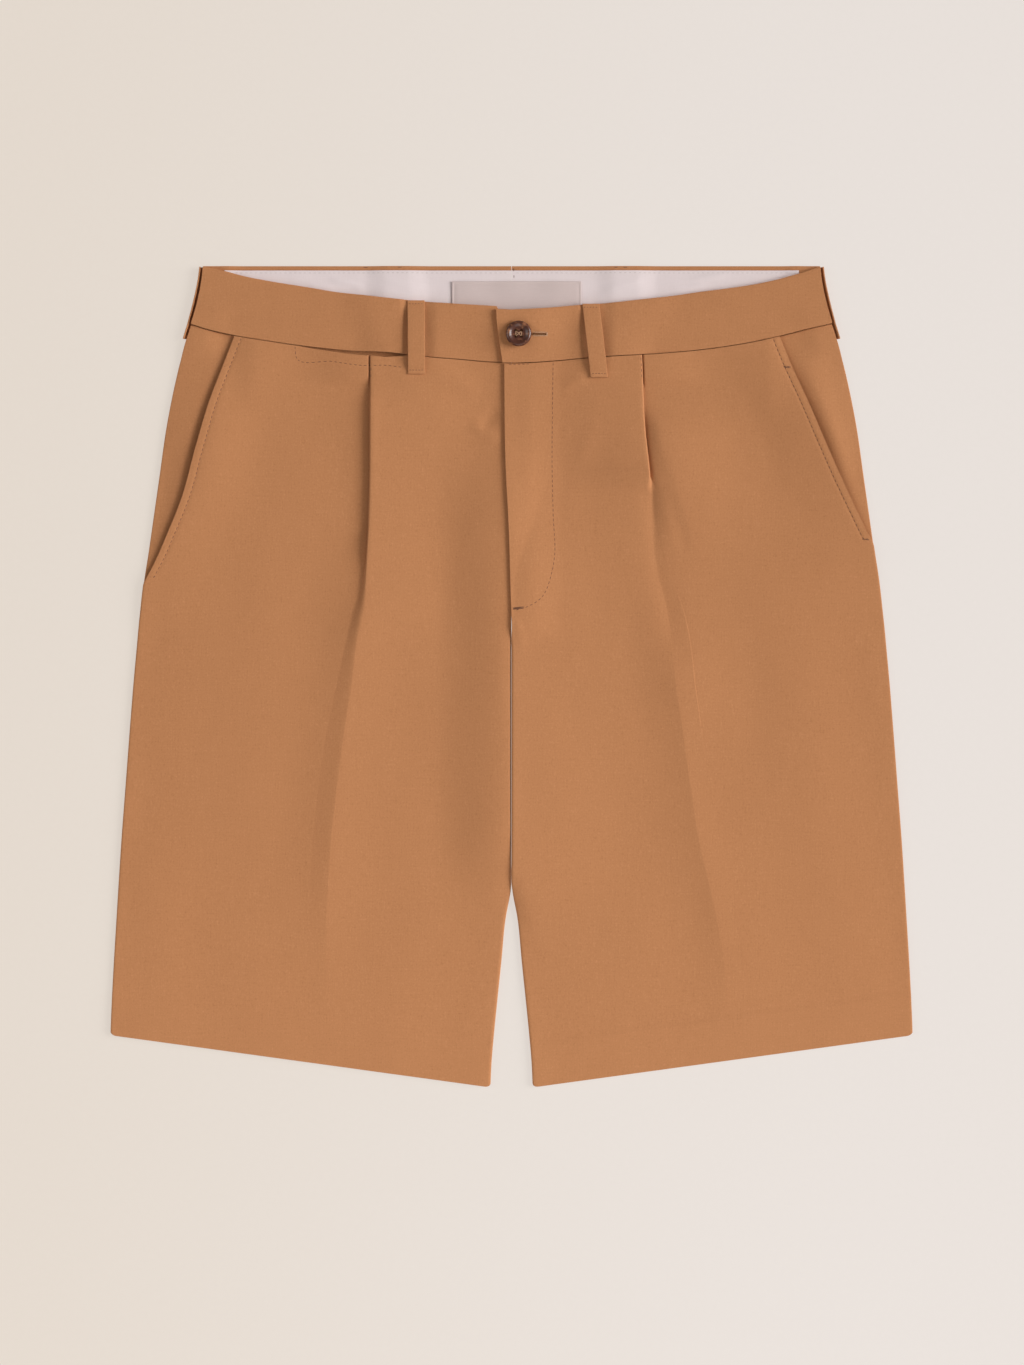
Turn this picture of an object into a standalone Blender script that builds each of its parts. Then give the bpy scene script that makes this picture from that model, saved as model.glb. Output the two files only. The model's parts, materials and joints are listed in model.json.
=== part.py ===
"""Pleated bermuda shorts lying flat on their back, front side up.

Metres, +Z up, waist towards +Y. The origin is under the middle of the laid garment, on the surface that it
lies on. "right" and "left" are the wearer's, so right is at -X. Sizes below are in millimetres, and heights
(y) are measured up the garment from the lowest point of its hem, distances (out) from its middle line.
Every panel is a cloth wall: an open grid placed by its section functions, with Solidify for its thickness.
"""

import math

import bmesh
import bpy
import numpy as np
from mathutils import Vector

MM = 0.001
# The origin's height above the lowest point of the hem.
ORIGIN_Y = 279.4
RIGHT, LEFT = -1, 1
SIDE_NAMES = {RIGHT: "right", LEFT: "left"}

# Cloth walls and the levels at which they lie.
WALL = 1.0
BACK_WALL = 1.1
BACK_BAND_WALL = 1.5
BAND_WALL = 2.0
SEAM_GAP = 0.3
FRONT_FLOOR = 1.6
# Radius of the pleat's turns: folded flat, and the most that it grows to where the pleat opens out.
TURN_RADIUS = 0.7
OPEN_RADIUS = 8.0
# How far the cloth rises and falls in one opened turn, which sets its radius between the two.
TURN_RISE = 0.75

# Waistband, belt loops and label.
WAIST_TOP = 558.0
BACK_BAND_LOW = 519.0
BACK_STRIP = 2.8
LOOP_WIDTH = 11.6
LOOP_LENGTH = 50.0
LOOP_LIFT = 1.35
BACK_LOOP_AT = 78.0
BACK_LOOP_LOW = 508.0
# Room beside and before a loop that is folded flat under the back, and the ramp up to it.
LOOP_ROOM = 0.6
LOOP_BEFORE = 0.7
LOOP_RAMP = 3.2
# Where the back starts to rise on the side loops, and within how much.
SIDE_LIFT_LOW, SIDE_LIFT_RUN = 501.0, 5.0
BACK_ROWS_FROM = 495.0
SIDE_INSETS = (14.8, 11.3, 5.5, 0.3)
LABEL_LOW, LABEL_TOP = 522.5, 547.0
LABEL_RIGHT_END, LABEL_LEFT_END = -40.5, 47.3

# Button and buttonhole.
BUTTON_DIAMETER = 18.0
BUTTON_HEIGHT = 3.2
BUTTON_HOLE = 1.9
BUTTON_HOLE_SPACING = 3.6
BUTTON_AT = (4.8, 511.4)
BUTTONHOLE_LENGTH = 20.0
BUTTONHOLE_WIDTH = 0.9
# How far the slit starts behind the button's middle.
BUTTONHOLE_BEHIND = 2.0

# Hem line of each leg: its height at the outer corner, and how round its corners are.
HEM_OUTER_Y = 35.4
HEM_CORNER = 3.5
HEM_ROUNDING = 0.7

# Fly: the left front lies over the right one down to the end of the overlap.
FLY_END = 322.0
FLY_UNDERLAP = 6.0
FLY_LIFT = 1.8
# Edge of the overlap, as (height, distance from the middle), which is below 0 past the middle line.
FLY_EDGE = ((493.0, -5.0), (425.0, -4.2), (378.0, -1.9), (326.0, -0.3), (316.0, 0.15))
FLY_EDGE_LOW = 316.0

# Coin pocket slit under the right half of the waistband.
COIN_INNER, COIN_OUTER = 70.0, 144.0
COIN_SAG = 3.0
COIN_SAG_AT = 85.0
COIN_DEPTH = 16.0
COIN_ABOVE = 5.0

# Slant pockets.
FACING_TUCK = 22.0
FACING_GAP = 0.4
POCKET_PAD = 1.6
POCKET_GAPE = 2.3
# How far inside the mouth, and below its end, the front starts to rise towards it.
PAD_REACH = 64.0
PAD_BELOW = 44.0

# One row for each section across a leg, from the waist down. crease is where the pleat's fold edge, and
# below it the pressed crease, runs; fold_depth is the length of the cloth that doubles back under the
# fold edge, and fold_turn is how far the cloth turns there: 180 degrees is folded flat, 0 is plain.
SECTION_COLUMNS = ("y", "half_width", "inner_edge", "crease_right", "crease_left", "fold_depth", "fold_turn")
SECTIONS = (
    (519.0, 217.5, 0.15, 96.2, 88.0, 16.0, 180.0),
    (505.0, 222.0, 0.15, 96.2, 88.3, 16.0, 180.0),
    (483.0, 227.5, 0.15, 96.2, 89.2, 15.5, 180.0),
    (451.0, 234.0, 0.15, 96.4, 90.6, 14.0, 180.0),
    (413.0, 239.5, 0.15, 96.6, 94.4, 11.0, 180.0),
    (385.0, 243.5, 0.15, 97.4, 95.8, 8.0, 180.0),
    (362.0, 246.8, 0.15, 98.6, 97.4, 5.0, 180.0),
    (345.0, 249.5, 0.15, 100.1, 100.6, 2.6, 178.0),
    (334.0, 250.9, 0.15, 101.5, 103.8, 1.4, 140.0),
    (324.0, 252.0, 0.15, 103.0, 106.0, 1.0, 92.0),
    (313.0, 253.2, 0.15, 104.8, 107.8, 1.2, 58.0),
    (300.0, 254.4, 0.15, 106.6, 109.2, 2.0, 34.0),
    (277.0, 256.5, 0.15, 109.0, 111.2, 5.0, 14.0),
    (246.0, 259.0, 0.15, 113.4, 115.8, 9.0, 5.5),
    (205.0, 262.1, 0.15, 118.8, 121.6, 12.0, 2.4),
    (168.0, 264.9, 0.15, 122.8, 127.4, 12.0, 1.6),
    (137.0, 266.9, 0.30, 125.0, 134.6, 12.0, 1.5),
    (114.0, 268.3, 4.40, 125.8, 139.6, 12.0, 1.1),
    (86.0, 270.0, 7.10, 126.0, 144.2, 12.0, 0.8),
    (59.0, 271.4, 9.90, 125.6, 146.4, 12.0, 0.6),
    (35.0, 272.3, 12.30, 125.2, 148.4, 12.0, 0.5),
    (16.0, 272.5, 13.90, 125.0, 149.4, 12.0, 0.5),
    (0.0, 272.5, 14.60, 125.0, 150.0, 12.0, 0.5),
)

# Edge of each slant pocket, as (height, distance from the middle) down to its end at the side seam.
POCKET_EDGES = {
    RIGHT: ((515.0, 186.4), (489.6, 196.2), (466.5, 205.0), (434.5, 214.5), (399.0, 224.4),
            (375.4, 234.0), (356.0, 242.6), (343.0, 249.6)),
    LEFT: ((515.0, 180.0), (490.3, 190.0), (465.0, 201.6), (434.5, 214.7), (410.0, 225.6),
           (389.6, 235.4), (378.0, 241.0), (369.0, 245.8)),
}

# Long soft rolls of the laid cloth, one row each: the side they are on, where the crest runs from its
# lower to its upper end, how high it is, and how far it fades out towards the middle and the side.
ROLL_COLUMNS = ("side", "y_low", "y_high", "at_low", "at_high", "height", "inner_fade", "outer_fade")
ROLLS = (
    (RIGHT, 92.0, 440.0, 6.0, 6.0, 4.2, 34.0, 46.0),
    (LEFT, 92.0, 420.0, 0.0, 0.0, 3.6, 6.0, 90.0),
    (RIGHT, 120.0, 470.0, 190.0, 165.0, 0.7, 60.0, 50.0),
    (LEFT, 60.0, 420.0, 205.0, 190.0, 0.8, 60.0, 45.0),
)
# How much higher up than the sections say the pleat opens out on each side, and between which heights.
PLEAT_SHIFT = {RIGHT: 32.0, LEFT: 88.0}
SHIFT_LOW, SHIFT_LOW_RUN = 120.0, 170.0
SHIFT_HIGH, SHIFT_HIGH_RUN = 400.0, 100.0
# How much of its turn the cloth keeps on each side once the pleat has opened out, from OPENED up.
OPEN_TURN = {RIGHT: 1.0, LEFT: 0.12}
OPENED, OPENING = 300.0, 45.0

# Top edge and lower seam of each front waistband half, as (distance from the middle, height).
BAND_TOPS = {
    RIGHT: (
        (0.0, 529.8), (25.0, 531.3), (55.0, 533.2), (79.0, 535.5), (100.0, 537.9), (120.0, 540.2),
        (140.0, 543.6), (161.0, 546.9), (181.0, 550.7), (195.0, 554.4), (211.0, 557.8),
    ),
    LEFT: (
        (0.0, 527.8), (23.0, 529.1), (43.0, 531.0), (67.0, 532.7), (87.0, 534.9), (108.0, 537.3),
        (128.0, 540.2), (149.0, 542.9), (169.0, 546.1), (180.0, 548.5), (190.0, 551.2), (200.0, 554.2),
        (211.0, 557.8),
    ),
}
BAND_SEAMS = {
    RIGHT: (
        (0.0, 492.5), (15.0, 492.9), (35.0, 494.6), (55.0, 496.1), (70.0, 497.6), (83.0, 499.1),
        (110.0, 500.4), (130.0, 502.4), (147.0, 504.4), (168.0, 507.5), (188.0, 510.8), (208.0, 515.4),
        (217.5, 518.4),
    ),
    LEFT: (
        (0.0, 491.9), (12.6, 492.3), (33.0, 493.8), (50.0, 495.3), (67.0, 496.6), (87.0, 497.7),
        (108.0, 499.1), (128.0, 501.1), (149.0, 503.9), (169.0, 507.4), (189.0, 512.2), (200.0, 515.0),
        (217.0, 518.8),
    ),
}
# Side fold of the waistband, as (height, half the width).
BAND_SIDE = ((519.0, 217.5), (534.5, 213.4), (550.0, 210.4), (558.0, 209.6))
# End of the left half, which laps over the right one as a tab, as (height, distance from the middle).
TAB_EDGE = ((493.0, -6.3), (511.4, -8.8), (527.0, -10.5), (531.0, -10.6))
# How much lower the right half's end is, so that the tab covers it, and how far out it reaches.
TAB_COVER = 3.6
TAB_COVER_REACH = 10.3

CLOTH_COLOUR = (0.49, 0.23, 0.105, 1.0)
LINING_COLOUR = (0.72, 0.62, 0.60, 1.0)
LABEL_COLOUR = (0.55, 0.48, 0.44, 1.0)
BUTTON_COLOUR = (0.07, 0.032, 0.022, 1.0)


def smooth(value):
    """0 below 0, 1 above 1, and a soft step between."""
    value = min(max(value, 0.0), 1.0)
    return value * value * (3.0 - 2.0 * value)


def ramp(value):
    """0 below 0, 1 above 1, and straight between."""
    return min(max(value, 0.0), 1.0)


def mix(low, high, share):
    return low + (high - low) * share


def curve_through(points, at):
    """Value at `at` of a smooth curve through (place, value) points, flat beyond both ends."""
    places, values = (np.array(column) for column in zip(*sorted(points)))
    if at <= places[0]:
        return float(values[0])
    if at >= places[-1]:
        return float(values[-1])
    slopes = np.gradient(values, places)
    k = int(np.searchsorted(places, at)) - 1
    span = places[k + 1] - places[k]
    t = (at - places[k]) / span
    start = (1 + 2 * t) * (1 - t) ** 2 * values[k] + t * (1 - t) ** 2 * span * slopes[k]
    end = t * t * (3 - 2 * t) * values[k + 1] + t * t * (t - 1) * span * slopes[k + 1]
    return float(start + end)


def section(column, y):
    """Size of that name in the table of sections, at height y."""
    k = SECTION_COLUMNS.index(column)
    return curve_through([(row[0], row[k]) for row in SECTIONS], y)


def crease(side, y):
    return section("crease_" + SIDE_NAMES[side], y)


def band_seam(side, out):
    """Height of the seam between waistband and front, at distance out from the middle."""
    return curve_through(BAND_SEAMS[side], abs(out))


def band_top(side, out):
    """Height of the waistband's top edge, which is lower where the tab covers the right half's end."""
    hidden = TAB_COVER * smooth((TAB_COVER_REACH - abs(out)) / 2.0) if side == RIGHT else 0.0
    return curve_through(BAND_TOPS[side], abs(out)) - hidden


def band_side(y):
    return curve_through(BAND_SIDE, y)


def side_fold(y):
    """Half the garment's width at each height: the waistband's above its seam and the legs' below."""
    return band_side(y) if y > BACK_BAND_LOW else section("half_width", y)


def pocket_edge(side, y):
    return curve_through(POCKET_EDGES[side], y)


def pocket_low(side):
    return POCKET_EDGES[side][-1][0]


def hem_height(out):
    """Height of the hem line at distance out, with its outer and inner corners rounded off."""
    inner = section("inner_edge", 0.0)
    outer = section("half_width", HEM_OUTER_Y)
    line = HEM_OUTER_Y * (out - inner) / (outer - inner)
    near = ramp(min(outer - out, out - inner) / HEM_CORNER)
    return line + HEM_CORNER * HEM_ROUNDING * (1.0 - math.sqrt(1.0 - (1.0 - near) ** 2))


# The front lies up on the waistband's layers by SEAT_RISE, from SEAT_LOW up to the seam, and comes down
# again beyond SEAT_OUT where the pockets start.
SEAT_RISE = 1.2
SEAT_LOW, SEAT_RUN = 440.0, 48.0
SEAT_OUT, SEAT_FADE = 172.0, 20.0


def seat_rise(out, y):
    """How far the front lies up on the waistband's layers near its top seam."""
    return SEAT_RISE * smooth((y - SEAT_LOW) / SEAT_RUN) * (1.0 - smooth((out - SEAT_OUT) / SEAT_FADE))


def pocket_pad(side, out, y):
    """How far the front is held up by the pocket facing under it, and by the mouth that gapes a little."""
    low = pocket_low(side)
    edge = pocket_edge(side, y)
    across = smooth((out - edge + PAD_REACH) / (PAD_REACH - 4.0))
    pad = POCKET_PAD * across * smooth((y - low + PAD_BELOW) / (PAD_BELOW - 4.0))
    along = ramp((y - low) / (band_seam(side, edge) - low))
    return pad + POCKET_GAPE * math.sin(math.pi * along) * across


def rolls(side, out, y):
    """Height of the long soft rolls on that side."""
    total = 0.0
    for values in ROLLS:
        roll = dict(zip(ROLL_COLUMNS, values))
        if roll["side"] != side:
            continue
        along = (y - roll["y_low"]) / (roll["y_high"] - roll["y_low"])
        ends = smooth(along / 0.2) * smooth((1.0 - along) / 0.25)
        at = mix(roll["at_low"], roll["at_high"], along)
        fade = roll["outer_fade"] if out > at else roll["inner_fade"]
        total += roll["height"] * ends * (1.0 - smooth(abs(out - at) / fade))
    return total


# The rolls die out over SIDE_FALL before the side edge. The left front starts to rise over the right one
# FLY_RISE_BELOW under the end of the overlap, within FLY_RISE, and comes down again past FLY_FLAT.
SIDE_FALL = 12.0
FLY_RISE_BELOW, FLY_RISE = 22.0, 16.0
FLY_FLAT, FLY_FADE = 10.0, 26.0


def side_fall(out, y):
    """1 over the leg and 0 at its side edge, where the rolls die out."""
    return smooth((section("half_width", y) - out) / SIDE_FALL)


def relief(side, out, y):
    """Height of the rolls, with the left front's overlap resting on the right front's."""
    own = rolls(side, out, y) * side_fall(out, y)
    if side == RIGHT:
        return own
    below = rolls(RIGHT, -out, y)
    return mix(own, max(own, below), over_fly(out, y))


def over_fly(out, y):
    """1 over the fly and 0 beyond it."""
    return smooth((y - FLY_END + FLY_RISE_BELOW) / FLY_RISE) * (1.0 - smooth((out - FLY_FLAT) / FLY_FADE))


def front_ground(side, out, y):
    """Middle of the front wall's thickness where it lies flat, without the pleat."""
    flat = FRONT_FLOOR + WALL / 2 + seat_rise(out, y) + pocket_pad(side, out, y)
    fly = FLY_LIFT * over_fly(out, y) if side == LEFT else 0.0
    return flat + relief(side, out, y) + fly


def pleat_height(side, y):
    """Height in the table of sections that tells how the pleat lies at height y."""
    share = smooth((y - SHIFT_LOW) / SHIFT_LOW_RUN) * (1.0 - smooth((y - SHIFT_HIGH) / SHIFT_HIGH_RUN))
    return y - PLEAT_SHIFT[side] * share


def fold_turn(side, y):
    """How far the cloth turns at the fold edge, in radians."""
    height = pleat_height(side, y)
    kept = mix(OPEN_TURN[side], 1.0, smooth((height - OPENED) / OPENING))
    return math.radians(section("fold_turn", height)) * kept


def fold_depth(side, y):
    return section("fold_depth", pleat_height(side, y))


def fold_radius(side, y):
    """Radius of the pleat's turns: tight where it is folded flat, and wider the more it opens."""
    radius = TURN_RISE / (1.0 - math.cos(fold_turn(side, y)))
    return min(max(radius, TURN_RADIUS), OPEN_RADIUS)


def pleat_drop(side, y):
    """Height between the cloth above the fold edge and the cloth below it."""
    turn = fold_turn(side, y)
    return 2 * fold_radius(side, y) * (1 - math.cos(turn)) + fold_depth(side, y) * math.sin(turn)


def pleat_reach(side, y):
    """How far under itself the cloth doubles back."""
    return max(0.0, -fold_depth(side, y) * math.cos(fold_turn(side, y)))


# The raised inner cloth is down at the ground again PLEAT_FADE inside the folded layers.
PLEAT_FADE = 62.0


def pleat_fade(side, out, y):
    """1 over the folded layers and 0 where the raised inner cloth is down at the ground again."""
    return 1.0 - smooth((crease(side, y) - pleat_reach(side, y) - 2.0 - out) / PLEAT_FADE)


def front_inner_edge(side, y):
    """Inner edge of a front, as a distance out from the middle: below 0 it passes the middle."""
    edge = section("inner_edge", y)
    if side == LEFT:
        return edge if y < FLY_EDGE_LOW else curve_through(FLY_EDGE, y)
    return mix(edge, -FLY_UNDERLAP, smooth((y - FLY_END - 3.0) / 12.0))


def front_outer_edge(side, y):
    if y <= pocket_low(side):
        return section("half_width", y)
    return min(pocket_edge(side, y), section("half_width", y))


def front_inner_z(side, out, y):
    """Middle of the wall between the inner edge and the pleat."""
    flat_from = crease(side, y) - pleat_reach(side, y)
    fade = pleat_fade(side, out, y)
    ground = front_ground(side, min(out, flat_from), y)
    at_fold = front_ground(side, crease(side, y), y) - front_ground(side, flat_from, y)
    return ground + (pleat_drop(side, y) + at_fold) * fade


# Rows of a front stand at the heights of the sections below this one, and one more at its top seam.
TOP_ROW_BELOW = 485.0
# Heights from which the search for a column's lower and upper end sets out.
LOW_START, HIGH_START = 10.0, 505.0
# Shares of the front's width on each side of the pleat at which its columns stand.
INNER_SHARES = (0.0, 0.07, 0.15, 0.25, 0.38, 0.52, 0.68, 0.84, 1.0)
OUTER_SHARES = (0.0, 0.06, 0.16, 0.32, 0.5, 0.68, 0.84, 0.95, 1.0)
TURN_STEPS = 4
FOLD_STEPS = 2


def fold_path(side, y):
    """(out, z) of the pleat's S at height y, from the top cloth through both turns to the ground."""
    turn = fold_turn(side, y)
    depth = fold_depth(side, y)
    radius = fold_radius(side, y)
    out = crease(side, y) - radius * math.sin(min(turn, math.pi / 2)) - WALL / 2
    z = front_ground(side, crease(side, y), y) + pleat_drop(side, y)
    step = 2 * radius * math.sin(turn / TURN_STEPS / 2)
    points = [(out, z)]
    for k in range(TURN_STEPS):
        angle = turn * (k + 0.5) / TURN_STEPS
        out += step * math.cos(angle)
        z -= step * math.sin(angle)
        points.append((out, z))
    for _ in range(FOLD_STEPS):
        out += depth / FOLD_STEPS * math.cos(turn)
        z -= depth / FOLD_STEPS * math.sin(turn)
        points.append((out, z))
    for k in range(TURN_STEPS):
        angle = turn * (1 - (k + 0.5) / TURN_STEPS)
        out += step * math.cos(angle)
        z -= step * math.sin(angle)
        points.append((out, z))
    return points


INNER_COLUMNS = len(INNER_SHARES) - 1
FOLD_COLUMNS = 2 * TURN_STEPS + FOLD_STEPS + 1
FRONT_COLUMNS = INNER_COLUMNS + FOLD_COLUMNS + len(OUTER_SHARES) - 1


def front_place(side, column, y):
    """(out, z) of one column of a front at height y."""
    path = fold_path(side, y)
    if column < INNER_COLUMNS:
        out = mix(front_inner_edge(side, y), path[0][0], INNER_SHARES[column])
        return out, front_inner_z(side, out, y)
    if column < INNER_COLUMNS + FOLD_COLUMNS:
        return path[column - INNER_COLUMNS]
    share = OUTER_SHARES[column - INNER_COLUMNS - FOLD_COLUMNS + 1]
    out = mix(path[-1][0], front_outer_edge(side, y), share)
    return out, front_ground(side, max(out, crease(side, y)), y)


def settle(height_at, out_at, y):
    """Height at which a column that leans meets a line whose height depends on the distance out."""
    for _ in range(6):
        y = height_at(out_at(y))
    return y


def coin_sag(side, out):
    """How far the right front's top edge hangs open below the waistband at the coin pocket."""
    if side == LEFT or not COIN_INNER < out < COIN_OUTER:
        return 0.0
    ends = COIN_INNER if out < COIN_SAG_AT else COIN_OUTER
    return COIN_SAG * ramp((out - ends) / (COIN_SAG_AT - ends)) ** 0.8


def front_grid(side):
    """Rows of points of one front, from the hem to the waistband seam."""
    heights = [row[0] for row in SECTIONS[::-1] if row[0] < TOP_ROW_BELOW]
    shares = [y / band_seam(side, 0.0) for y in heights] + [1.0]
    columns = []
    for column in range(FRONT_COLUMNS):
        def out_at(y):
            return front_place(side, column, y)[0]
        low = settle(hem_height, out_at, LOW_START)
        high = settle(lambda out: band_seam(side, out) - coin_sag(side, out), out_at, HIGH_START)
        column_points = []
        for share in shares:
            y = mix(low, high - SEAM_GAP / 2, share)
            out, z = front_place(side, column, y)
            column_points.append((side * out, y, z))
        columns.append(column_points)
    return [list(row) for row in zip(*columns)]


def back_lift(out, y):
    """How far the back lies up on the belt loops that are folded flat under it."""
    beside = abs(out - BACK_LOOP_AT) - LOOP_WIDTH / 2 - LOOP_ROOM
    along = ramp((y - BACK_LOOP_LOW + LOOP_BEFORE + LOOP_RAMP) / LOOP_RAMP)
    at_loop = ramp(1.0 - beside / LOOP_RAMP) * along
    at_side = ramp((out - side_fold(y) + SIDE_INSETS[0]) / (SIDE_INSETS[0] - SIDE_INSETS[1]))
    return LOOP_LIFT * max(at_loop, at_side * ramp((y - SIDE_LIFT_LOW) / SIDE_LIFT_RUN))


def back_outs(y):
    """Columns of the back and of what lies on it, with one at each edge of the room for a loop."""
    edge = side_fold(y)
    spread = mix(1.0, edge / side_fold(BACK_BAND_LOW), smooth((495.0 - y) / 60.0))
    half = LOOP_WIDTH / 2 + LOOP_ROOM
    places = (34.0, 58.0, BACK_LOOP_AT - half - LOOP_RAMP, BACK_LOOP_AT - half, BACK_LOOP_AT + half,
              BACK_LOOP_AT + half + LOOP_RAMP, 125.0, 165.0)
    outs = [max(section("inner_edge", y), SEAM_GAP / 2)]
    outs += [place * spread for place in places]
    return outs + [edge - inset for inset in SIDE_INSETS]


def back_grid(side):
    """Rows of points of one back panel, from the hem to the back waistband."""
    top = BACK_BAND_LOW - SEAM_GAP / 2
    heights = [row[0] for row in SECTIONS[::-1] if row[0] < BACK_ROWS_FROM]
    heights += [BACK_ROWS_FROM, SIDE_LIFT_LOW, BACK_LOOP_LOW - LOOP_BEFORE - LOOP_RAMP, BACK_LOOP_LOW - 0.9]
    heights += [(BACK_LOOP_LOW + top) / 2, top]
    columns = []
    for column in range(len(back_outs(top))):
        low = settle(hem_height, lambda y: back_outs(y)[column], LOW_START)
        column_points = []
        for height in heights:
            y = mix(low, top, height / top)
            out = back_outs(y)[column]
            column_points.append((side * out, y, BACK_WALL / 2 + back_lift(out, y)))
        columns.append(column_points)
    return [list(row) for row in zip(*columns)]


def back_band_grid(side):
    heights = (BACK_BAND_LOW + SEAM_GAP / 2, 527.0, 534.5, 545.0, 552.0, WAIST_TOP - BACK_STRIP, WAIST_TOP)
    rows = []
    for y in heights:
        rows.append([(side * out, y, BACK_BAND_WALL / 2 + back_lift(out, y)) for out in back_outs(y)])
    return rows


def lining_z(out, y):
    return BACK_BAND_WALL + SEAM_GAP + WALL / 2 + back_lift(out, y)


def lining_grid(side):
    heights = (BACK_BAND_LOW + 1.0, 527.0, 534.5, 545.0, 552.0, WAIST_TOP - BACK_STRIP)
    rows = []
    for y in heights:
        rows.append([(side * out, y, lining_z(out, y)) for out in back_outs(y)[: 1 - len(SIDE_INSETS)]])
    return rows


def label_grid():
    places = (LABEL_RIGHT_END, (LABEL_RIGHT_END + LABEL_LEFT_END) / 2, LABEL_LEFT_END)
    rows = []
    for y in (LABEL_LOW, LABEL_TOP):
        rows.append([(x, y, lining_z(0.0, y) + WALL + SEAM_GAP) for x in places])
    return rows


def facing_outs(side, y):
    """Columns of a pocket facing, of which the outer ones stand where the back's do."""
    edge = side_fold(y)
    inner = pocket_edge(side, y) - FACING_TUCK
    outer = edge - SIDE_INSETS[0]
    return [mix(inner, outer, share) for share in (0.0, 0.3, 0.65)] + [edge - inset for inset in SIDE_INSETS]


def facing_grid(side):
    """Hip piece behind a slant pocket: it lies on the back, tucked under the front's pocket edge."""
    low = pocket_low(side) + 1.5
    lower = [mix(low, BACK_ROWS_FROM, share) for share in (0.0, 0.14, 0.28, 0.42, 0.56, 0.7, 0.85, 1.0)]
    upper_shares = (0.26, 0.36, 0.46, 0.56, 0.78, 1.0)
    columns = []
    for column in range(len(facing_outs(side, low))):
        high = settle(lambda out: band_seam(side, out), lambda y: facing_outs(side, y)[column], HIGH_START)
        high -= SEAM_GAP / 2
        heights = lower + [mix(BACK_ROWS_FROM, high, share) for share in upper_shares]
        column_points = []
        for y in heights:
            out = facing_outs(side, y)[column]
            z = BACK_WALL + FACING_GAP + WALL / 2 + back_lift(out, y)
            column_points.append((side * out, y, z))
        columns.append(column_points)
    return [list(row) for row in zip(*columns)]


def coin_facing_grid():
    """Strip of the coin pocket that shows behind its slit, under the front and clear of the pleat."""
    rows = []
    for share in (0.0, 0.5, 1.0):
        row = []
        for out in (COIN_INNER - 2.0, 84.0, 97.0, 110.0, 127.0, COIN_OUTER + 2.0):
            seam = band_seam(RIGHT, out)
            y = mix(seam - COIN_DEPTH, seam + COIN_ABOVE, share)
            row.append((RIGHT * out, y, BACK_WALL + SEAM_GAP + WALL / 2))
        rows.append(row)
    return rows


# The waistband's underside lies SEAT_RISE over the front's floor at its seam and PLEAT_STEP more over the
# folded pleat. Along its top edge it lies TOP_OVER_LABEL up as far as the label reaches, and TOP_OVER_BACK
# past that, and at the side it comes down on the back half.
PLEAT_STEP = 2.1
TOP_OVER_LABEL, TOP_OVER_BACK = 4.5, 3.2
LABEL_REACH, LABEL_FADE = 92.0, 26.0
TAB_REACH, TAB_FADE = 12.0, 30.0
SIDE_REACH, SIDE_FADE = 190.0, 12.0


def band_floor(side, out, share):
    """Underside of a front waistband half, at a share of the way from its seam to its top edge."""
    fold = crease(side, 498.0)
    stepped = smooth((fold + 12.0 - out) / 24.0) * (1.0 - smooth((fold - 14.0 - out) / PLEAT_FADE))
    low = FRONT_FLOOR + SEAT_RISE + PLEAT_STEP * stepped
    high = mix(TOP_OVER_LABEL, TOP_OVER_BACK, smooth((out - LABEL_REACH) / LABEL_FADE))
    if side == LEFT:
        tab = (BAND_WALL + SEAM_GAP) * (1.0 - smooth((out - TAB_REACH) / TAB_FADE))
        low += tab
        high += tab
    level = mix(low, high, smooth(share / 0.9))
    at_side = smooth((out - SIDE_REACH) / SIDE_FADE)
    return mix(level, BACK_BAND_WALL + LOOP_LIFT + SEAM_GAP, at_side)


BAND_SHARES = (0.0, 0.06, 0.12, 0.2, 0.28, 0.36, 0.44, 0.52, 0.6, 0.7, 0.8, 0.88, 0.95, 1.0)
BAND_ROWS = (0.0, 0.06, 0.35, 0.65, 0.94, 1.0)


def band_point(side, part, share):
    """Middle of the wall of a front waistband half: part runs outwards and share runs up."""
    at_tab = mix(TAB_EDGE[0][0], TAB_EDGE[-1][0], share)
    inner = curve_through(TAB_EDGE, at_tab) if side == LEFT else -FLY_UNDERLAP
    outer = band_side(mix(BAND_SEAMS[side][-1][1], WAIST_TOP, share))
    out = mix(inner, outer, part)
    y = mix(band_seam(side, out) + SEAM_GAP / 2, band_top(side, out), share)
    return side * out, y, band_floor(side, out, share) + BAND_WALL / 2


def band_surface(side, out, y):
    """Top of a front waistband half at a distance out and a height."""
    low, high = band_seam(side, out) + SEAM_GAP / 2, band_top(side, out)
    share = ramp((y - low) / (high - low))
    return band_floor(side, out, share) + BAND_WALL


def front_surface(side, out, y):
    """Top of a front at a place between its inner edge and the pleat."""
    return front_inner_z(side, out, y) + WALL / 2


# Front belt loops: the middle of each at its top and lower end, as distances from the middle.
FRONT_LOOPS = {RIGHT: (64.8, 64.4), LEFT: (53.7, 59.5)}
LOOP_ROWS = (0.0, 0.03, 0.1, 0.17, 0.22, 0.35, 0.5, 0.65, 0.8, 0.9, 0.97, 1.0)
LOOP_ARCH = 1.6


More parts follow.
